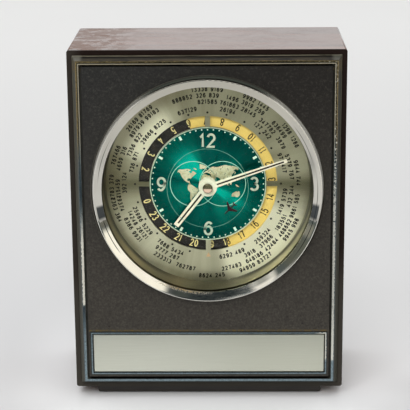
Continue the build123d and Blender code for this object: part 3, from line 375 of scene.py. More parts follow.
def frame_lacquer():
    """Olive black lacquer of the sloped frame, with painted grey sheen at the sides, bronze along the top
    and a painted highlight on its ridge.
    """
    made, tree = new_finish("frame_lacquer")
    place = in_mm(tree)
    across, _, height = axes(place)
    rub = noise(in_mm(tree, scale=(0.05, 1.0, 1.0)), 2.2, detail=5.0, roughness=0.7)
    side = stretch(abs(across), case_right - 7.0, case_right - 5.0)
    top = stretch(height, case_top - 2.4, case_top - 5.0) * stretch(height, case_top - 9.0, case_top - 7.5)
    colour = mixed(noise(place, 0.1), tint(13, 12, 10), tint(20, 19, 15))
    # Painted sheen: grey on the sloped sides, lighter on the left
    grey = mixed(stretch(across, -5.0, 5.0), tint(84, 83, 76), tint(68, 68, 61))
    colour = mixed(side, colour, grey)
    colour = mixed(top * stretch(rub, 0.46, 0.56), colour, tint(104, 90, 62))
    # Scratches at the sides, and a painted highlight on the ridge all round, fainter low down
    streaks = noise(in_mm(tree, scale=(1.0, 1.0, 0.1)), 1.3, detail=6.0, roughness=0.8)
    scratches = side * stretch(streaks, 0.6, 0.7, 0.0, 0.45)
    ridge_highlight = line_at(inset_from(tree, "case_shell"), 2.3, 0.12) * stretch(rub, 0.35, 0.6, 0.15, 0.8)
    ridge_highlight = ridge_highlight * stretch(height, 30.0, 110.0, 0.1, 1.0)
    rubbed = calc("MAXIMUM", scratches, ridge_highlight)
    return finished(
        made,
        Base_Color=mixed(rubbed, colour, tint(128, 122, 104)),
        Roughness=stretch(rub, 0.3, 0.7, 0.26, 0.4),
        Specular_IOR_Level=0.14,
        Coat_Weight=0.04,
        Coat_Roughness=0.12,
        Normal=bumped(rub, 0.008),
    )


def bright_trim(name, piece):
    """Plated line with painted reflections: blue-grey low down, bronze and light lines higher up, white at
    the sides.
    """
    made, tree = new_finish(name)
    place = in_mm(tree)
    across, _, height = axes(place)
    inset = inset_from(tree, piece)
    wear = noise(place, 1.1, detail=5.0, roughness=0.75)
    ragged = height + wear * 3.0
    # The white at the sides: a painted highlight on the left, and wear flecks on the right
    core = line_at(inset + (wear - 0.5) * 1.6, 0.85, 0.5)
    left = stretch(across, -44.0, -48.0) * stretch(ragged, 92.0, 69.0) * stretch(ragged, 43.0, 44.0)
    flecks = wear + stretch(height, 128.0, 55.0, 0.0, 0.22)
    right = stretch(across, 44.0, 48.0) * stretch(flecks, 0.54, 0.64) * stretch(ragged, 18.0, 19.5)
    white = calc("MAXIMUM", left, right * 0.8) * core
    # Painted reflection low down: blue-grey in the middle band, darker outside it
    slate_reflection = mixed(stretch(wear, 0.4, 0.65), tint(134, 152, 160), tint(108, 120, 124))
    slate_reflection = mixed(line_at(inset, 0.85, 0.55, 0.3), tint(72, 78, 78), slate_reflection)
    # Higher up, painted reflections and light: a thin bronze line, a light inner half in place of the shade
    # under the slope, and a highlight line at the inner edge
    bronze = line_at(inset, 0.35, 0.28) * stretch(wear, 0.3, 0.55)
    inner_half = stretch(inset, 0.8, 1.1)
    upper_painted_lines = mixed(bronze, tint(54, 54, 46), tint(150, 132, 92))
    upper_painted_lines = mixed(inner_half, upper_painted_lines, tint(150, 142, 122))
    upper_painted_lines = mixed(line_at(inset, 1.62, 0.14), upper_painted_lines, tint(232, 228, 214))
    upper = stretch(height, 96.0, 120.0)
    matt = calc("MAXIMUM", white * 0.8, upper * inner_half)
    return finished(
        made,
        Base_Color=mixed(white, mixed(upper, slate_reflection, upper_painted_lines), tint(222, 219, 206)),
        Metallic=1.0 - matt,
        Roughness=stretch(wear, 0.4, 0.7, 0.14, 0.3),
        Normal=bumped(wear, 0.002),
    )


def brushed_plate():
    """Satin aluminium brushed from side to side, with painted shade towards the right."""
    made, tree = new_finish("brushed_plate")
    place = in_mm(tree)
    lines = noise(in_mm(tree, scale=(0.012, 1.0, 1.0)), 5.5, detail=6.0, roughness=0.75)
    drift = noise(in_mm(tree, scale=(0.4, 1.0, 1.0)), 0.05, detail=2.0)
    dirt = stretch(noise(place, 0.35, detail=6.0, roughness=0.8), 0.66, 0.8, 0.0, 0.4)
    colour = mixed(stretch(lines, 0.3, 0.7), tint(217, 218, 205), tint(228, 230, 218))
    # Painted shade: darker towards the right, with a drifting tone
    shade_to_right = stretch(axes(place)[0], -30.0, 40.0, 0.0, 0.25) + drift * 0.4
    colour = mixed(shade_to_right, colour, tint(190, 191, 170))
    return finished(
        made,
        Base_Color=mixed(dirt, colour, tint(206, 202, 184)),
        Metallic=1.0,
        Roughness=stretch(lines, 0.25, 0.8, 0.3, 0.42),
        Anisotropic=0.6,
        Normal=bumped(lines, 0.003),
    )


def domed_cap():
    """Polished cap with a painted reflection, dark above and pink below, and a dark ring at its edge."""
    made, tree = new_finish("polished_cap")
    place = in_mm(tree, centre=dial_centre)
    across, _, up = axes(place)
    colour = mixed(stretch(up, -0.25, 0.05), tint(238, 204, 184), tint(92, 90, 66))
    colour = mixed(stretch(radius_of(across, up), 1.7, 2.0), colour, tint(96, 86, 70))
    return finished(
        made,
        Base_Color=colour,
        Metallic=0.7,
        Roughness=stretch(noise(place, 0.8), 0.2, 0.8, 0.16, 0.24),
    )


def wall_metal():
    """Olive metal of the ring round the dial, with painted reflections and a painted shadow line that comes
    forward from 6 to 12.
    """
    made, tree = new_finish("olive_wall")
    place = in_mm(tree, centre=dial_centre)
    across, depth, up = axes(place)
    angle = angle_of(across, up)
    film = noise(place, 0.12)
    # Painted reflections, by angle: bright at the lower right, warm from the bottom to the left
    lit = fans(angle, (132, 20, 18, 1.0))
    warm = fans(angle, (230, 16, 16, 1.0), (264, 12, 12, 0.6), (198, 6, 10, 0.6))
    colour = mixed(lit, tint(78, 74, 60), tint(214, 206, 178))
    colour = mixed(warm, colour, tint(168, 154, 126))
    # Painted shadow at the foot of the wall: a thin dark line with a wider band round it, weaker at the
    # bottom
    rise = up / wall_radius + 1.0
    squared = rise * rise
    left_line = squared * squared * 3.7
    right_line = squared * 6.0
    line = 6.1 - mixed_value(stretch(across, -6.0, 6.0), left_line, right_line)
    before = stretch(line - depth, 0.3, 4.2)
    behind = stretch(depth - line, 0.3, 2.2, 0.0, 0.6)
    wide = (1.0 - calc("MAXIMUM", before, behind)) * 0.9
    thin = line_at(depth, line, 0.65, 0.45)
    painted_shadow_line = calc("MAXIMUM", wide, thin) * (1.0 - fans(angle, (186, 20, 14, 0.8)))
    return finished(
        made,
        Base_Color=mixed(painted_shadow_line, colour, tint(20, 17, 10)),
        Metallic=1.0,
        Roughness=stretch(film, 0.2, 0.8, 0.34, 0.44),
        Normal=bumped(film, 0.002),
    )


def bezel_chrome():
    """Polished bezel with painted reflections: darker above, thin dark marks and two glints, a pale outer
    edge and brown dirt low down.
    """
    made, tree = new_finish("bezel_chrome")
    place = in_mm(tree, centre=dial_centre)
    across, _, up = axes(place)
    angle = angle_of(across, up)
    inset = bezel_radius - radius_of(across, up)
    film = noise(place, 0.1, detail=2.0)
    # Painted reflection: lighter low down, darker above
    colour = mixed(stretch(up, 5.0, 40.0, 0.0, 0.75), tint(216, 213, 203), tint(184, 180, 168))
    colour = mixed(stretch(film, 0.4, 0.7, 0.0, 0.3), colour, tint(196, 192, 180))
    # Painted reflections: dark marks, by their distance from the outer edge
    inner = stretch(inset, 1.2, 2.2) * fans(angle, (150, 5, 4, 0.7), (75, 5, 6, 0.4))
    colour = mixed(inner, colour, tint(96, 100, 94))
    stripe = line_at(inset, 1.9, 0.14) * fans(angle, (104, 20, 8, 0.8), (287, 9, 6, 0.75))
    colour = mixed(stripe, colour, tint(44, 46, 42))
    patch = stretch(inset, 0.7, 1.0) * fans(angle, (101, 4, 1.2, 0.92), (259, 3.5, 1.0, 0.92))
    thread = line_at(inset, 2.35, 0.16) * fans(angle, (245, 9, 3, 0.8), (63, 9, 4, 0.6))
    colour = mixed(calc("MAXIMUM", patch, thread), colour, tint(40, 47, 52))
    # Painted reflection: a blue-grey ripple low down
    ripple = noise(in_mm(tree, scale=(0.35, 1.0, 1.6), centre=dial_centre), 0.9, detail=5.0, roughness=0.7)
    ripple = stretch(ripple, 0.45, 0.62) * fans(angle, (172, 16, 6, 0.7))
    colour = mixed(ripple, colour, tint(120, 134, 140))
    # A pale outer edge with two painted glints, and the dirt on the inner side
    rubbed = stretch(inset, 0.4, 0.22) * stretch(up, 43.0, 36.0) * 0.75
    painted_glint = stretch(inset, 1.5, 0.5) * fans(angle, (138, 6, 8, 0.5), (166, 6, 8, 0.4))
    rubbed = calc("MAXIMUM", rubbed, painted_glint)
    colour = mixed(rubbed, colour, tint(232, 229, 220))
    specks = noise(place, 1.4, detail=5.0, roughness=0.8)
    low_inner = stretch(inset, 2.2, 3.1) * fans(angle, (194, 12, 8, 1.0), (160, 4, 4, 0.3))
    dirt = low_inner * stretch(specks, 0.46, 0.56)
    matt = calc("MAXIMUM", dirt, rubbed)
    return finished(
        made,
        Base_Color=mixed(dirt, colour, tint(146, 122, 78)),
        Metallic=1.0 - matt * 0.95,
        Roughness=mixed_value(matt, 0.045, 0.3),
        Normal=bumped(film, 0.0006),
    )


def sunray(name, colours, lobes, base, roughness, fineness, coat=0.0, edge_tint=None, rim_shade_tint=None):
    """Metal brushed in rays from the dial's centre, with painted highlights and shade, dark, middling and
    bright by its fans.

    An edge tint darkens the green centre outwards. A rim tint paints shade on the dial's rim at the
    upper left, and the lit parts of that rim are less like metal.
    """
    made, tree = new_finish(name)
    across, _, up = axes(in_mm(tree, centre=dial_centre))
    angle = angle_of(across, up)
    radius = radius_of(across, up)
    ray_place = joined(calc("SINE", angle) * fineness, calc("COSINE", angle) * fineness)
    rays = noise(ray_place, 1.0, detail=4.0, roughness=0.7)
    wide = noise(ray_place, 0.06, detail=2.0)
    # The fans paint the highlights and shade of the brushed rays, by angle
    level = fans(angle, *lobes) + wide * 0.3 + rays * 0.14 + (base - 0.22)
    if edge_tint:
        level = level * stretch(radius, green_radius * 0.2, green_radius, 1.3, 0.6)
    dark, middling, bright = colours
    shade = mixed(stretch(level, 0.0, 0.5), dark, middling)
    shade = mixed(stretch(level, 0.5, 1.0), shade, bright)
    solid = 1.0
    if edge_tint:
        near_edge = stretch(radius, green_radius * 0.5, green_radius * 0.95, 0.0, 0.55)
        shade = mixed(near_edge, shade, edge_tint)
    if rim_shade_tint:
        # Painted shade on the rim at the upper left
        upper_left = stretch(across, 0.0, -22.0) * stretch(up, -18.0, 4.0, 0.15, 0.75)
        shade = mixed(stretch(radius, 32.0, dial_rim) * upper_left, shade, rim_shade_tint)
        lit = fans(angle, (140, 24, 12, 0.5), (208, 16, 12, 0.18))
        solid = 1.0 - stretch(radius, 34.5, dial_rim) * lit
    return finished(
        made,
        Base_Color=shade,
        Metallic=solid,
        Roughness=stretch(rays, 0.25, 0.75, roughness * 0.85, roughness * 1.2),
        Anisotropic=0.7,
        Coat_Weight=coat,
        Coat_Roughness=0.03,
        Normal=bumped(rays, 0.002),
        Tangent=Value(add(tree, "Tangent", {"direction_type": "RADIAL", "axis": "Y"})),
    )


def enamel(name, colour, shade, roughness, metallic=0.0):
    """Printed or sprayed colour, thin in places."""
    made, tree = new_finish(name)
    patches = noise(in_mm(tree), 0.8, detail=5.0, roughness=0.6)
    return finished(
        made,
        Base_Color=mixed(stretch(patches, 0.35, 0.75), colour, shade),
        Metallic=metallic,
        Roughness=stretch(patches, 0.2, 0.8, roughness * 0.8, roughness * 1.2),
        Specular_IOR_Level=0.2,
        Normal=bumped(patches, 0.004),
    )


def day_and_night(name, day, night):
    """Print whose colour changes along the line that parts day from night on the 24 hour ring."""
    made, tree = new_finish(name)
    place = in_mm(tree, centre=dial_centre)
    across, _, up = axes(place)
    line = math.radians(day_start)
    side = across * math.cos(line) - up * math.sin(line)
    patches = noise(place, 0.25, detail=5.0, roughness=0.6)
    colour = mixed(side > 0.0, night, day)
    return finished(
        made,
        Base_Color=mixed(stretch(patches, 0.45, 0.8, 0.0, 0.12), colour, tint(120, 104, 70)),
        Roughness=stretch(patches, 0.2, 0.8, 0.35, 0.5),
        Specular_IOR_Level=0.2,
        Normal=bumped(patches, 0.006),
    )


def clear(name, colour, ior, smudge):
    """Clear sheet that lets light through to what lies behind it."""
    made, tree = new_finish(name)
    film = noise(in_mm(tree), 0.06, detail=5.0, roughness=0.6)
    is_shadow = Value(add(tree, "LightPath"), "Is Shadow Ray")
    solid = Value(tree.nodes["Principled BSDF"])
    through = Value(add(tree, "BsdfTransparent", Color=colour))
    choice = add(tree, "MixShader")
    for socket, value in zip(choice.inputs, (is_shadow, solid, through)):
        feed(socket, value)
    set_inputs(tree.nodes["Material Output"], Surface=Value(choice))
    return finished(
        made,
        Base_Color=colour,
        Transmission_Weight=1.0,
        IOR=ior,
        Roughness=stretch(film, 0.5, 0.8, 0.0, smudge),
    )


def wound_copper():
    """Enamelled copper wire wound side by side along X."""
    made, tree = new_finish("wound_copper")
    wires = calc("SINE", axes(in_mm(tree))[0] * 26.0)
    return finished(
        made,
        Base_Color=mixed(stretch(wires, -1.0, 1.0), tint(96, 42, 20), tint(206, 120, 66)),
        Metallic=0.8,
        Roughness=0.3,
        Normal=bumped(wires, 0.05),
    )


def laminate():
    """Green circuit board with lighter tracks under its lacquer."""
    made, tree = new_finish("laminate")
    place = in_mm(tree)
    bricks = add(
        tree, "TexBrick", Vector=place, Color1=tint(20, 86, 44), Color2=tint(26, 98, 52),
        Mortar=tint(86, 150, 84), Scale=0.45, Mortar_Size=0.05,
    )
    return finished(
        made,
        Base_Color=Value(bricks),
        Roughness=stretch(noise(place, 0.9), 0.2, 0.8, 0.3, 0.45),
        Coat_Weight=0.4,
        Normal=bumped(Value(bricks, "Fac"), 0.02),
    )


dial_metal = sunray(
    "champagne_sunray",
    (tint(112, 109, 86), tint(178, 174, 148), tint(250, 246, 218)),
    (
        (135, 27, 16, 0.85), (309, 24, 14, 0.72), (205, 55, 18, 0.34), (76, 10, 8, 0.12), (106, 5, 6, 0.12),
        (90, 3, 8, -0.36), (270, 6, 11, -0.3), (345, 4, 10, -0.1), (232, 20, 12, 0.17), (286, 5, 7, -0.22),
    ),
    base=0.28, roughness=0.34, fineness=90.0, rim_shade_tint=tint(108, 100, 76),
)
green_metal = sunray(
    "green_sunray",
    (tint(0, 88, 82), tint(0, 126, 112), tint(0, 200, 182)),
    (
        (122, 16, 22, 0.95), (316, 24, 17, 0.9), (246, 25, 16, 0.4),
        (52, 14, 10, 0.25), (158, 10, 12, 0.4), (190, 12, 10, 0.15),
    ),
    base=0.0, roughness=0.3, fineness=60.0, coat=0.05, edge_tint=tint(0, 44, 36),
)
black = moulded("black_moulding", tint(26, 26, 26), tint(38, 37, 36))
gasket_skin = moulded("olive_gasket", tint(104, 99, 78), tint(92, 87, 68), 0.5, grain=2.4)
rubber = moulded("black_rubber", tint(24, 24, 24), tint(34, 33, 32), 0.7, grain=2.4, depth=0.03)
cover_skin = moulded("cover_grain", tint(34, 32, 30), tint(46, 43, 40), 0.55, grain=2.8, depth=0.06)
knob_skin = moulded("knob_plastic", tint(28, 28, 28), tint(44, 43, 41), 0.38, grain=1.2)
plinth_skin = moulded("plinth_plastic", tint(38, 34, 31), tint(50, 45, 41), 0.5, grain=2.0, depth=0.02)
nylon = moulded("white_nylon", tint(226, 224, 214), tint(206, 202, 188), 0.42, depth=0.006)
wrap = moulded("battery_wrap", tint(150, 42, 32), tint(128, 34, 26), 0.3, depth=0.004, coat=0.4)
steel = metal("plated_steel", tint(196, 194, 186), tint(150, 147, 138), 0.24, 2.2)
brass = metal("machined_brass", tint(214, 176, 104), tint(168, 132, 72), 0.22, 2.0, grain=(1.0, 0.1, 1.0))
glass = clear("clear_glass", tint(250, 252, 248), 1.1, 0.03)
acrylic = clear("clear_acrylic", tint(252, 255, 253), 1.05, 0.02)
hand_paint = enamel("cream_enamel", tint(238, 231, 214), tint(224, 215, 194), 0.38)
slot_paint = enamel("black_enamel", tint(40, 31, 24), tint(56, 44, 33), 0.5)
word_ink = enamel("dial_ink", tint(24, 22, 16), tint(38, 35, 27), 0.6)
faded_ink = enamel("faded_orange", tint(206, 160, 120), tint(196, 172, 140), 0.5)
mint_ink = enamel("mint_ink", tint(214, 244, 228), tint(190, 228, 210), 0.45)
line_ink = enamel("mint_line", tint(176, 240, 222), tint(140, 222, 200), 0.4)
thin_ink = enamel("thin_line", tint(120, 186, 168), tint(96, 160, 144), 0.4)
numeral_metal = enamel("bare_numerals", tint(206, 218, 198), tint(182, 198, 178), 0.34, metallic=0.6)
land_metal = enamel("bare_land", tint(226, 222, 194), tint(196, 186, 148), 0.3, metallic=0.55)
rim_metal = enamel("bright_rim", tint(200, 222, 198), tint(172, 196, 172), 0.3, metallic=0.4)
red_ink = enamel("dark_red_ink", tint(44, 12, 20), tint(32, 9, 16), 0.3)
ring_base = day_and_night("day_and_night_ring", tint(232, 200, 112), tint(38, 36, 36))
ring_print = day_and_night("day_and_night_numerals", tint(52, 44, 30), tint(230, 214, 150))

finishes = {
    "case_shell": rosewood(), "front_frame": frame_lacquer(), "front_panel": panel_paint(),
    "frame_trim": bright_trim("bright_trim", "frame_trim"),
    "plate_trim": bright_trim("thin_trim", "plate_trim"),
    "front_plate": brushed_plate(), "bezel": bezel_chrome(), "reflector_ring": wall_metal(),
    "crystal_gasket": gasket_skin, "crystal": glass, "dial_plate": dial_metal,
    "centre_dial": green_metal, "day_night_ring": ring_base, "dial_carrier": black,
    "carrier_screws": steel, "cannon_pinion": brass, "hour_wheel": brass, "minute_wheel": brass,
    "idler_wheel": brass, "minute_hand": hand_paint, "hour_hand": hand_paint,
    "centre_wheel": brass, "third_wheel": brass, "seconds_arbor": brass, "fifth_wheel": nylon,
    "rotor": steel, "seconds_disc": acrylic, "aeroplane": red_ink, "seconds_cap": domed_cap(),
    "movement_plate": black, "train_bridge": black, "stator": steel, "coil": wound_copper(),
    "movement_case": black, "movement_screws": steel, "circuit_board": laminate(),
    "quartz_can": steel, "battery_box": black, "battery": wrap, "positive_contact": steel,
    "negative_contact": steel, "back_cover": cover_skin, "battery_door": cover_skin,
    "setting_arbor": steel, "setting_knob": knob_skin, "back_screws": steel,
    "base_plinth": plinth_skin, "rubber_feet": rubber, "plinth_screws": steel,
}
for name, finish in finishes.items():
    for material_slot in nodes[name].material_slots:
        material_slot.material = finish

# Small rounds catch the light on edges that turn by this many degrees or more
least_angle = 35
edge_steps = 2
# Gap that is closed first, and widths of the rounds, in millimetres
edge_weld = 0.002
edge_rounds = {
    "case_shell": case_round, "front_frame": 0.16, "front_plate": 0.06,
    "base_plinth": 0.3, "back_cover": 0.2, "battery_door": 0.25,
    "minute_hand": 0.07, "hour_hand": 0.07, "front_panel": 0.1,
}
for name, width in edge_rounds.items():
    weld = nodes[name].modifiers.new("weld", "WELD")
    weld.merge_threshold = edge_weld * mm
    bevel = nodes[name].modifiers.new("edge_round", "BEVEL")
    bevel.width = width * mm
    bevel.segments = edge_steps
    bevel.limit_method = "ANGLE"
    bevel.angle_limit = math.radians(least_angle)


# Prints: flat shapes of one colour, drawn in millimetres round the dial's centre

ink_thickness = 0.02
ink_weld = 0.001
loop_gap = 0.001
corner_share = 0.55


def new_object(name, data):
    """A new object in the scene."""
    piece = bpy.data.objects.new(name, data)
    bpy.context.scene.collection.objects.link(piece)
    return piece


def filled(*outlines):
    """Mesh between closed outlines, with a hole where one lies in another."""
    curve = bpy.data.curves.new("outlines", "CURVE")
    curve.dimensions = "2D"
    curve.fill_mode = "BOTH"
    curve.extrude = ink_thickness / 2
    for outline in outlines:
        spline = curve.splines.new("POLY")
        spline.points.add(len(outline) - 1)
        spline.use_cyclic_u = True
        for point, (x, y) in zip(spline.points, outline):
            point.co = (x, y, 0.0, 1.0)
    holder = new_object("drawing", curve)
    graph = bpy.context.evaluated_depsgraph_get()
    mesh = bpy.data.meshes.new_from_object(holder.evaluated_get(graph))
    bpy.data.objects.remove(holder, do_unlink=True)
    bpy.data.curves.remove(curve)
    return mesh


def bow(x, y, across, up, start, end, steps):
    """Points of an arc round a centre, with its half width and half height."""
    points = []
    for step in range(steps + 1):
        angle = math.radians(start + (end - start) * step / steps)
        points.append((x + across * math.cos(angle), y + up * math.sin(angle)))
    return points


def figure_paths(steps):
    """Middle lines of the figures in a box from -0.5 to 0.5, where a loop ends where it starts."""
    six = [
        bow(0.0, -0.17, 0.5, 0.33, 0, 360, steps),
        bow(0.1, -0.15, 0.6, 0.65, 180, 52, steps),
    ]
    return {
        "0": [bow(0.0, 0.0, 0.5, 0.5, 0, 360, steps)],
        "1": [[(-0.3, 0.27), (-0.1, 0.34), (0.06, 0.5), (0.06, -0.5)]],
        "2": [bow(0.0, 0.22, 0.47, 0.28, 165, -28, steps) + [(-0.47, -0.5), (0.5, -0.5)]],
        "3": [
            bow(0.0, 0.26, 0.43, 0.24, 155, -90, steps),
            bow(0.0, -0.24, 0.5, 0.26, 90, -155, steps),
        ],
        "4": [[(0.5, -0.24), (-0.5, -0.24), (0.2, 0.5), (0.2, -0.5)]],
        "5": [[(0.42, 0.5), (-0.34, 0.5), (-0.42, 0.0)] + bow(0.0, -0.17, 0.5, 0.33, 140, -150, steps)],
        "6": six,
        "7": [[(-0.5, 0.5), (0.5, 0.5), (0.08, -0.02), (-0.1, -0.5)]],
        "8": [bow(0.0, 0.26, 0.42, 0.24, 0, 360, steps), bow(0.0, -0.24, 0.5, 0.26, 0, 360, steps)],
        "9": [[(-x, -y) for x, y in path] for path in six],
    }


def band(path, width):
    """Left and right edges of a line drawn with this width."""
    loop = math.dist(path[0], path[-1]) < loop_gap
    points = path[:-1] if loop else path
    sides = ([], [])
    for index, (x, y) in enumerate(points):
        before = points[index - 1] if index or loop else (x, y)
        after = points[(index + 1) % len(points)] if index + 1 < len(points) or loop else (x, y)
        into = Vector((x - before[0], y - before[1]))
        out = Vector((after[0] - x, after[1] - y))
        into = into.normalized() if into.length else out.normalized()
        out = out.normalized() if out.length else into
        along = (into + out).normalized()
        reach = width / 2 / max(corner_share, along.dot(into))
        for side, edge in zip((-1, 1), sides):
            edge.append((x + side * reach * along.y, y - side * reach * along.x))
    if loop:
        for edge in sides:
            edge.append(edge[0])
    return sides


def on_dial(angle, radius):
    """Place on the dial at an angle clockwise from 12 and a radius."""
    return radius * math.sin(math.radians(angle)), radius * math.cos(math.radians(angle))


def circle(radius, sides=96):
    """Closed outline of a circle."""
    return [on_dial(full_turn * step / sides, radius) for step in range(sides)]


def hoop(radius, width):
    """Mesh of a flat ring with this outer radius."""
    return filled(circle(radius), circle(radius - width))


def block(half_width, half_height):
    """Closed outline of an upright rectangle."""
    return [(x * half_width, y * half_height) for x, y in ((-1, -1), (1, -1), (1, 1), (-1, 1))]


def shifted(dx, dy):
    """Moves a drawing."""
    return lambda x, y: (x + dx, y + dy)


as_drawn = shifted(0.0, 0.0)


def spun(angle, radius):
    """Places an upright drawing at a radius, turned with its angle."""
    turn = math.radians(angle)
    return lambda x, y: (
        (radius + y) * math.sin(turn) + x * math.cos(turn),
        (radius + y) * math.cos(turn) - x * math.sin(turn),
    )


def arched(angle, radius, inward):
    """Bends a line of figures round the dial, with their tops outward or towards the centre."""
    side = -1 if inward else 1
    turn = math.radians(angle)
    return lambda x, y: (
        (radius + side * y) * math.sin(turn + side * x / radius),
        (radius + side * y) * math.cos(turn + side * x / radius),
    )


class Print:
    """Gathers the flat shapes of one colour that lie on one surface."""

    def __init__(self):
        self.points = []
        self.faces = []

    def take(self, mesh, place=as_drawn):
        """Adds a mesh at its place, and clears it away."""
        first = len(self.points)
        for vertex in mesh.vertices:
            x, y = place(vertex.co.x, vertex.co.y)
            self.points.append((x, y, vertex.co.z))
        for polygon in mesh.polygons:
            self.faces.append([first + corner for corner in polygon.vertices])
        bpy.data.meshes.remove(mesh)

    def stroke(self, path, width, place=as_drawn):
        """A line of constant width along a path."""
        first = len(self.points)
        left, right = band(path, width)
        for near, far in zip(left, right):
            self.points.append((*place(*near), ink_thickness / 2))
            self.points.append((*place(*far), ink_thickness / 2))
        for step in range(len(left) - 1):
            corner = first + 2 * step
            self.faces.append([corner, corner + 2, corner + 3, corner + 1])

    def write(self, figures, place, height, width, weight, gap, steps):
        """A centred line of figures with this height, width and weight."""
        paths = figure_paths(steps)
        widths = [width * (narrow_share if figure in "1 " else 1.0) for figure in figures]
        x = -(sum(widths) + gap * (len(figures) - 1)) / 2
        for figure, room in zip(figures, widths):
            for path in paths.get(figure, []):
                line = [(x + room / 2 + u * (width - weight), v * (height - weight)) for u, v in path]
                self.stroke(line, weight, place)
            x += room + gap

    def lay(self, name, surface, finish, body):
        """Lays the print on a surface that faces the viewer at this y, riding on a body."""
        mesh = bpy.data.meshes.new(name)
        corners = []
        for x, y, out in self.points:
            lift = (out + ink_thickness / 2) * mm
            corners.append((dial_centre.x + x * mm, surface - lift, dial_centre.z + y * mm))
        mesh.from_pydata(corners, [], self.faces)
        mesh.materials.append(finish)
        piece = new_object(name, mesh)
        weld = piece.modifiers.new("weld", "WELD")
        weld.merge_threshold = ink_weld * mm
        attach(piece, body)


dial_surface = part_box("dial_plate")[0].y
green_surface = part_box("centre_dial")[0].y
ring_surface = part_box("day_night_ring")[0].y
disc_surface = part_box("seconds_disc")[0].y

# Three styles of figures, and how wide a 1 or a space is beside the others
word_style = {"height": 2.0, "width": 1.22, "weight": 0.44, "gap": 0.26, "steps": 8}
ring_style = {"height": 3.3, "width": 1.56, "weight": 0.46, "gap": 0.32, "steps": 14}
large_style = {"height": 6.2, "width": 3.9, "weight": 0.96, "gap": 0.5, "steps": 32}
narrow_share = 0.62

# Rows of figures on the dial: their radius, and the angle and count of signs of each group
word_rows = {
    32.5: {345: 6, 15: 5, 45: 7, 74: 7, 104: 9, 135: 6, 162: 8, 210: 9, 240: 10, 287: 7, 315: 10},
    35.2: {
        0: 6, 15: 6, 29: 5, 45: 6, 60: 4, 78: 8, 99: 7, 119: 6, 136: 5, 150: 4,
        210: 8, 239: 11, 271: 7, 299: 8,
    },
    37.9: {
        344: 6, 0: 7, 16: 4, 30: 8, 52: 6, 83: 8, 105: 8, 121: 6, 135: 5, 149: 6, 165: 6,
        195: 6, 211: 6, 238: 9, 258: 6, 267: 6, 287: 8, 315: 12,
    },
    40.5: {0: 10, 30: 9, 59: 9, 120: 8, 150: 11, 178: 8, 254: 8, 268: 8, 288: 6, 315: 11},
}
inward_from, inward_to = 90, 262
longest_group = 6
words = Print()
for radius, groups in word_rows.items():
    for angle, count in groups.items():
        figures = [str(random.randrange(1, 10)) for _ in range(count)]
        if count > longest_group:
            figures[count // 2] = " "
        place = arched(angle, radius, inward_from <= angle <= inward_to)
        words.write("".join(figures), place, **word_style)

# A dot for each hour, but at 6 a pointer
hour_dot_size = 0.46
hour_dot_radius = 30.6
for step in range(24):
    if step * hour_angle != 180:
        dot = filled(circle(hour_dot_size, sides=14))
        words.take(dot, shifted(*on_dial(step * hour_angle, hour_dot_radius)))
words.lay("dial_figures", dial_surface, word_ink, "root")

pointer_half, pointer_foot, pointer_tip = 0.95, -1.0, 0.9
pointer_radius = 31.0
pointer = Print()
triangle = [(-pointer_half, pointer_foot), (pointer_half, pointer_foot), (0.0, pointer_tip)]
pointer.take(filled(triangle), shifted(0.0, -pointer_radius))
pointer.lay("dial_pointer", dial_surface, faded_ink, "root")

# The 24 hour ring, as its windows show it
window_inner, window_outer = 24.6, 29.1
numeral_radius = (window_inner + window_outer) / 2
numerals = Print()
for hour in range(24):
    angle = eight_angle + hour_angle * (hour - 8)
    numerals.write(str(hour), arched(angle, numeral_radius, True), **ring_style)
numerals.lay("ring_numerals", ring_surface, ring_print, "day_night_ring")

# The green centre: rim, minute dots, hour bars and large numerals
rim_radius, rim_width = 24.4, 0.35
rim = Print()
rim.take(hoop(rim_radius, rim_width))
rim.lay("centre_rim", green_surface, rim_metal, "root")

quarter_dot = (block(0.25, 0.25), 23.3)
five_minute_bar = (block(0.5, 0.87), 22.7)
minute_dot = (block(0.25, 0.25), 23.4)
marks = Print()
for minute in range(60):
    mark = minute_dot
    if minute % 15 == 0:
        mark = quarter_dot
    elif minute % 5 == 0:
        mark = five_minute_bar
    outline, radius = mark
    marks.take(filled(outline), spun(minute * full_turn / 60, radius))
marks.lay("minute_marks", green_surface, mint_ink, "root")

large_numerals = {"12": (0, 18.7), "3": (90, 19.4), "6": (180, 19.4), "9": (270, 19.5)}
large = Print()
for figures, (angle, radius) in large_numerals.items():
    large.write(figures, shifted(*on_dial(angle, radius)), **large_style)
large.lay("large_numerals", green_surface, numeral_metal, "root")

# Two hemispheres with coarse coasts, as longitude and latitude
globe_radius = 9.8
globe_offset = 6.15
globe_drop = 0.1
line_width = 0.24
level_power = 0.85
widest_share = 0.97
cut_share = 0.25
west_middle, east_middle = -76.0, 82.0
west_coasts = (
    [(-150, 50), (-150, 55), (-129, 54), (-112, 57), (-98, 56), (-88, 53), (-86, 50), (-98, 46),
     (-92, 41), (-86, 38), (-82, 40), (-81, 47), (-74, 47), (-68, 42), (-60, 38), (-70, 32),
     (-74, 28), (-80, 23), (-85, 19), (-84, 14), (-88, 18), (-99, 17), (-101, 10), (-95, 7),
     (-91, 10), (-91, 4), (-84, -2), (-92, 2), (-108, 8), (-116, 16), (-122, 22), (-128, 29),
     (-132, 37), (-144, 44), (-150, 42), (-150, 44)],
    [(-42, 56), (-34, 66), (-22, 78), (-8, 80), (8, 72), (11, 66), (0, 60), (-17, 57)],
    [(-78, 62), (-67, 60), (-55, 55), (-62, 53), (-70, 55)],
    [(-97, -3), (-90, 0), (-78, -4), (-68, -10), (-53, -18), (-57, -28), (-60, -35), (-67, -39),
     (-73, -47), (-82, -53), (-84, -61), (-88, -67), (-93, -60), (-90, -44), (-88, -30), (-96, -22),
     (-99, -16)],
)
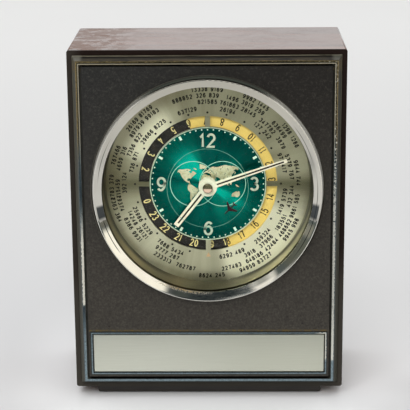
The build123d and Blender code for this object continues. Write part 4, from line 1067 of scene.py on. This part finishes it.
east_coasts = (
    [(-9, 34), (-9, 40), (-2, 42), (0, 46), (8, 51), (12, 53), (7, 56), (12, 63), (26, 68), (42, 64),
     (60, 66), (72, 70), (92, 73), (106, 75), (122, 71), (142, 70), (160, 67), (172, 65), (170, 58),
     (158, 49), (153, 56), (138, 51), (140, 44), (128, 37), (126, 32), (120, 35), (122, 27),
     (114, 19), (107, 16), (108, 8), (101, 10), (104, -1), (98, 6), (94, 15), (86, 18), (80, 11),
     (77, 5), (72, 16), (62, 22), (52, 25), (57, 20), (50, 13), (43, 10), (35, 25), (30, 34),
     (26, 36), (19, 38), (12, 41), (4, 40), (-2, 34)],
    [(-7, 32), (10, 34), (20, 29), (32, 28), (37, 17), (43, 8), (51, 8), (42, -4), (40, -17),
     (33, -29), (26, -37), (18, -37), (12, -21), (12, -7), (9, 1), (-6, 2), (-8, 17)],
    [(123, -35), (133, -29), (140, -25), (145, -29), (151, -24), (156, -32), (162, -40), (158, -52),
     (147, -49), (139, -46), (125, -49)],
    [(131, 32), (137, 35), (141, 38), (144, 44), (140, 43), (136, 37)],
    [(110, 1), (117, 6), (118, 0), (114, -4)],
    [(96, 5), (103, 0), (106, -6), (100, -2)],
    [(131, -1), (140, -3), (150, -10), (138, -8)],
    [(44, -16), (50, -15), (46, -26)],
    [(-6, 50), (1, 52), (-3, 58), (-7, 55)],
)


def on_globe(longitude, latitude, middle):
    """Place of a point on a hemisphere's disc, from its centre."""
    level = math.copysign((abs(latitude) / 90) ** level_power, latitude)
    share = max(-widest_share, min(widest_share, (longitude - middle) / 90))
    reach = globe_radius - line_width
    return reach * share * math.sqrt(1 - level * level), reach * level


def rounded(points):
    """A closed outline with each corner cut once, at a share of its sides."""
    cut = []
    for (x, y), (next_x, next_y) in zip(points, points[1:] + points[:1]):
        for share in (cut_share, 1 - cut_share):
            cut.append((x + share * (next_x - x), y + share * (next_y - y)))
    return cut


lands = Print()
for side, middle, coasts in ((-1, west_middle, west_coasts), (1, east_middle, east_coasts)):
    for coast in coasts:
        outline = rounded([on_globe(longitude, latitude, middle) for longitude, latitude in coast])
        lands.take(filled(outline), shifted(side * globe_offset, globe_drop))
lands.lay("continents", green_surface, land_metal, "root")

lines = Print()
for side in (-1, 1):
    lines.take(hoop(globe_radius, line_width), shifted(side * globe_offset, globe_drop))
lines.lay("hemisphere_lines", green_surface, line_ink, "root")

# The seconds disc has a fine line near its edge
disc_line_radius, disc_line_width = 16.95, 0.13
disc_line = Print()
disc_line.take(hoop(disc_line_radius, disc_line_width))
disc_line.lay("seconds_line", disc_surface, thin_ink, "seconds")

# Black lines along the hands: angle, start, end, and depth of the hand's face behind the centre
hand_lines = {"minute_hand": (71.0, 4.0, 33.4, 1.33), "hour_hand": (218.0, 3.9, 20.4, 3.83)}
slot_width = 0.7
for name, (angle, start, end, face) in hand_lines.items():
    strip = Print()
    strip.stroke([on_dial(angle, start), on_dial(angle, end)], slot_width)
    strip.lay(name + "_line", dial_centre.y + face * mm, slot_paint, name)


# Floor, light and camera

def floor():
    """A pale floor with painted light, lighter far away and near the object, whose mirror image is dark
    right in front.
    """
    made, tree = new_finish("pale_floor")
    place = in_mm(tree)
    across, depth, _ = axes(place)
    away = abs(across)
    # Painted light: lighter far away
    colour = mixed(stretch(depth, 0.0, 1150.0), tint(206, 206, 207), tint(239, 239, 239))
    # Painted light in front of, to the right of and beside the object, where its shadow falls
    front = stretch(away, 88.0, 44.0) * stretch(depth, -150.0, -40.0) * stretch(depth, 40.0, -20.0)
    colour = mixed(front, colour, tint(236, 236, 237))
    right = stretch(across, 50.0, 60.0) * stretch(across, 150.0, 80.0)
    right = right * stretch(depth, -25.0, 10.0) * stretch(depth, 380.0, 100.0)
    colour = mixed(right, colour, tint(220, 220, 221))
    beside = stretch(away, 48.0, 54.0) * stretch(away, 96.0, 62.0)
    beside = beside * stretch(depth, -50.0, -26.0) * stretch(depth, 120.0, 10.0)
    colour = mixed(beside, colour, tint(222, 222, 223))
    tone = noise(place, 0.004, detail=2.0)
    colour = mixed(stretch(tone, 0.3, 0.7, 0.0, 0.04), colour, tint(216, 217, 220))
    rays = add(tree, "LightPath")
    mirrored = calc("MAXIMUM", Value(rays, "Is Glossy Ray") - Value(rays, "Is Transmission Ray"), 0.0)
    shaded = mirrored * stretch(away, 150.0, 90.0) * stretch(depth, -95.0, -150.0)
    finished(made, Base_Color=mixed(shaded, colour, tint(50, 56, 58)), Roughness=0.7, Specular_IOR_Level=0.1)
    mesh = bpy.data.meshes.new("floor")
    reach = 4.0
    mesh.from_pydata([(x, y, 0.0) for x, y in block(reach, reach)], [], [(0, 1, 2, 3)])
    mesh.materials.append(made)
    new_object("floor", mesh)


def lamp(name, place, size, power):
    """A soft lamp that points at the object and is left out of mirror images."""
    light = bpy.data.lights.new(name, "AREA")
    light.shape = "RECTANGLE"
    light.size, light.size_y = size
    light.energy = power
    piece = new_object(name, light)
    piece.visible_glossy = False
    piece.location = place
    piece.rotation_euler = (lamp_target - Vector(place)).to_track_quat("-Z", "Y").to_euler()


def toward(side, height):
    """Direction to the right of straight ahead of the dial and above it, in degrees."""
    turn, rise = math.radians(side), math.radians(height)
    return Vector((math.sin(turn) * math.cos(rise), -math.cos(turn) * math.cos(rise), math.sin(rise)))


def studio():
    """Surroundings as the bezel mirrors them: dark ahead, a wide light right and a small one left."""
    world = bpy.data.worlds.new("studio")
    bpy.context.scene.world = world
    world.use_nodes = True
    tree = world.node_tree
    direction = Value(add(tree, "TexCoord"), "Generated")
    colour = tint(96, 104, 104)
    # Direction of each patch, its outer and inner edge in degrees from there, and its light
    patches = (
        (toward(180, 25), 95, 35, (0.72, 0.71, 0.7, 1.0)),
        (toward(180, 85), 60, 30, (1.2, 1.2, 1.2, 1.0)),
        (toward(0, 48), 30, 14, tint(62, 68, 70)),
        (toward(18, 44), 6, 2, tint(80, 86, 84)),
        (toward(-58, 18), 12, 7, tint(104, 108, 100)),
        (toward(-58, 4), 5, 2, tint(150, 150, 140)),
        (toward(-42, 37), 10, 5, (1.15, 1.13, 1.08, 1.0)),
        (toward(47, 24), 25, 20, (1.4, 1.36, 1.24, 1.0)),
        (toward(60, -2), 6, 3, tint(120, 120, 112)),
    )
    for middle, edge, core, light in patches:
        apart = calc("ARCCOSINE", vector_calc(tree, "DOT_PRODUCT", direction, middle, "Value"))
        colour = mixed(stretch(apart, math.radians(edge), math.radians(core)), colour, light)
    set_inputs(tree.nodes["Background"], Color=colour)


camera_place = Vector((10.454, -639.715, 258.152)) * mm
camera_yaw = math.radians(-1.0857)
camera_pitch = math.radians(15.792)
camera_roll = math.radians(-0.466)
camera_lens = 134.42
camera_sensor = 36.0


def camera():
    """Camera at the photograph's angle, with no shift."""
    data = bpy.data.cameras.new("camera")
    data.sensor_width = camera_sensor
    data.lens = camera_lens
    data.clip_start = 0.01
    piece = new_object("camera", data)
    turned = Matrix.Rotation(-camera_yaw, 4, "Z") @ Matrix.Rotation(math.pi / 2 - camera_pitch, 4, "X")
    piece.matrix_world = Matrix.Translation(camera_place) @ turned @ Matrix.Rotation(camera_roll, 4, "Z")
    bpy.context.scene.camera = piece


floor()
studio()
camera()
lamp_target = Vector((0.0, 0.0, 0.08))
lamp("key_lamp", place=(-0.35, -1.1, 1.1), size=(1.2, 1.0), power=14.0)
lamp("overhead_lamp", place=(-0.2, -0.1, 1.6), size=(1.4, 1.4), power=4.0)

bpy.context.scene.view_settings.view_transform = "Standard"
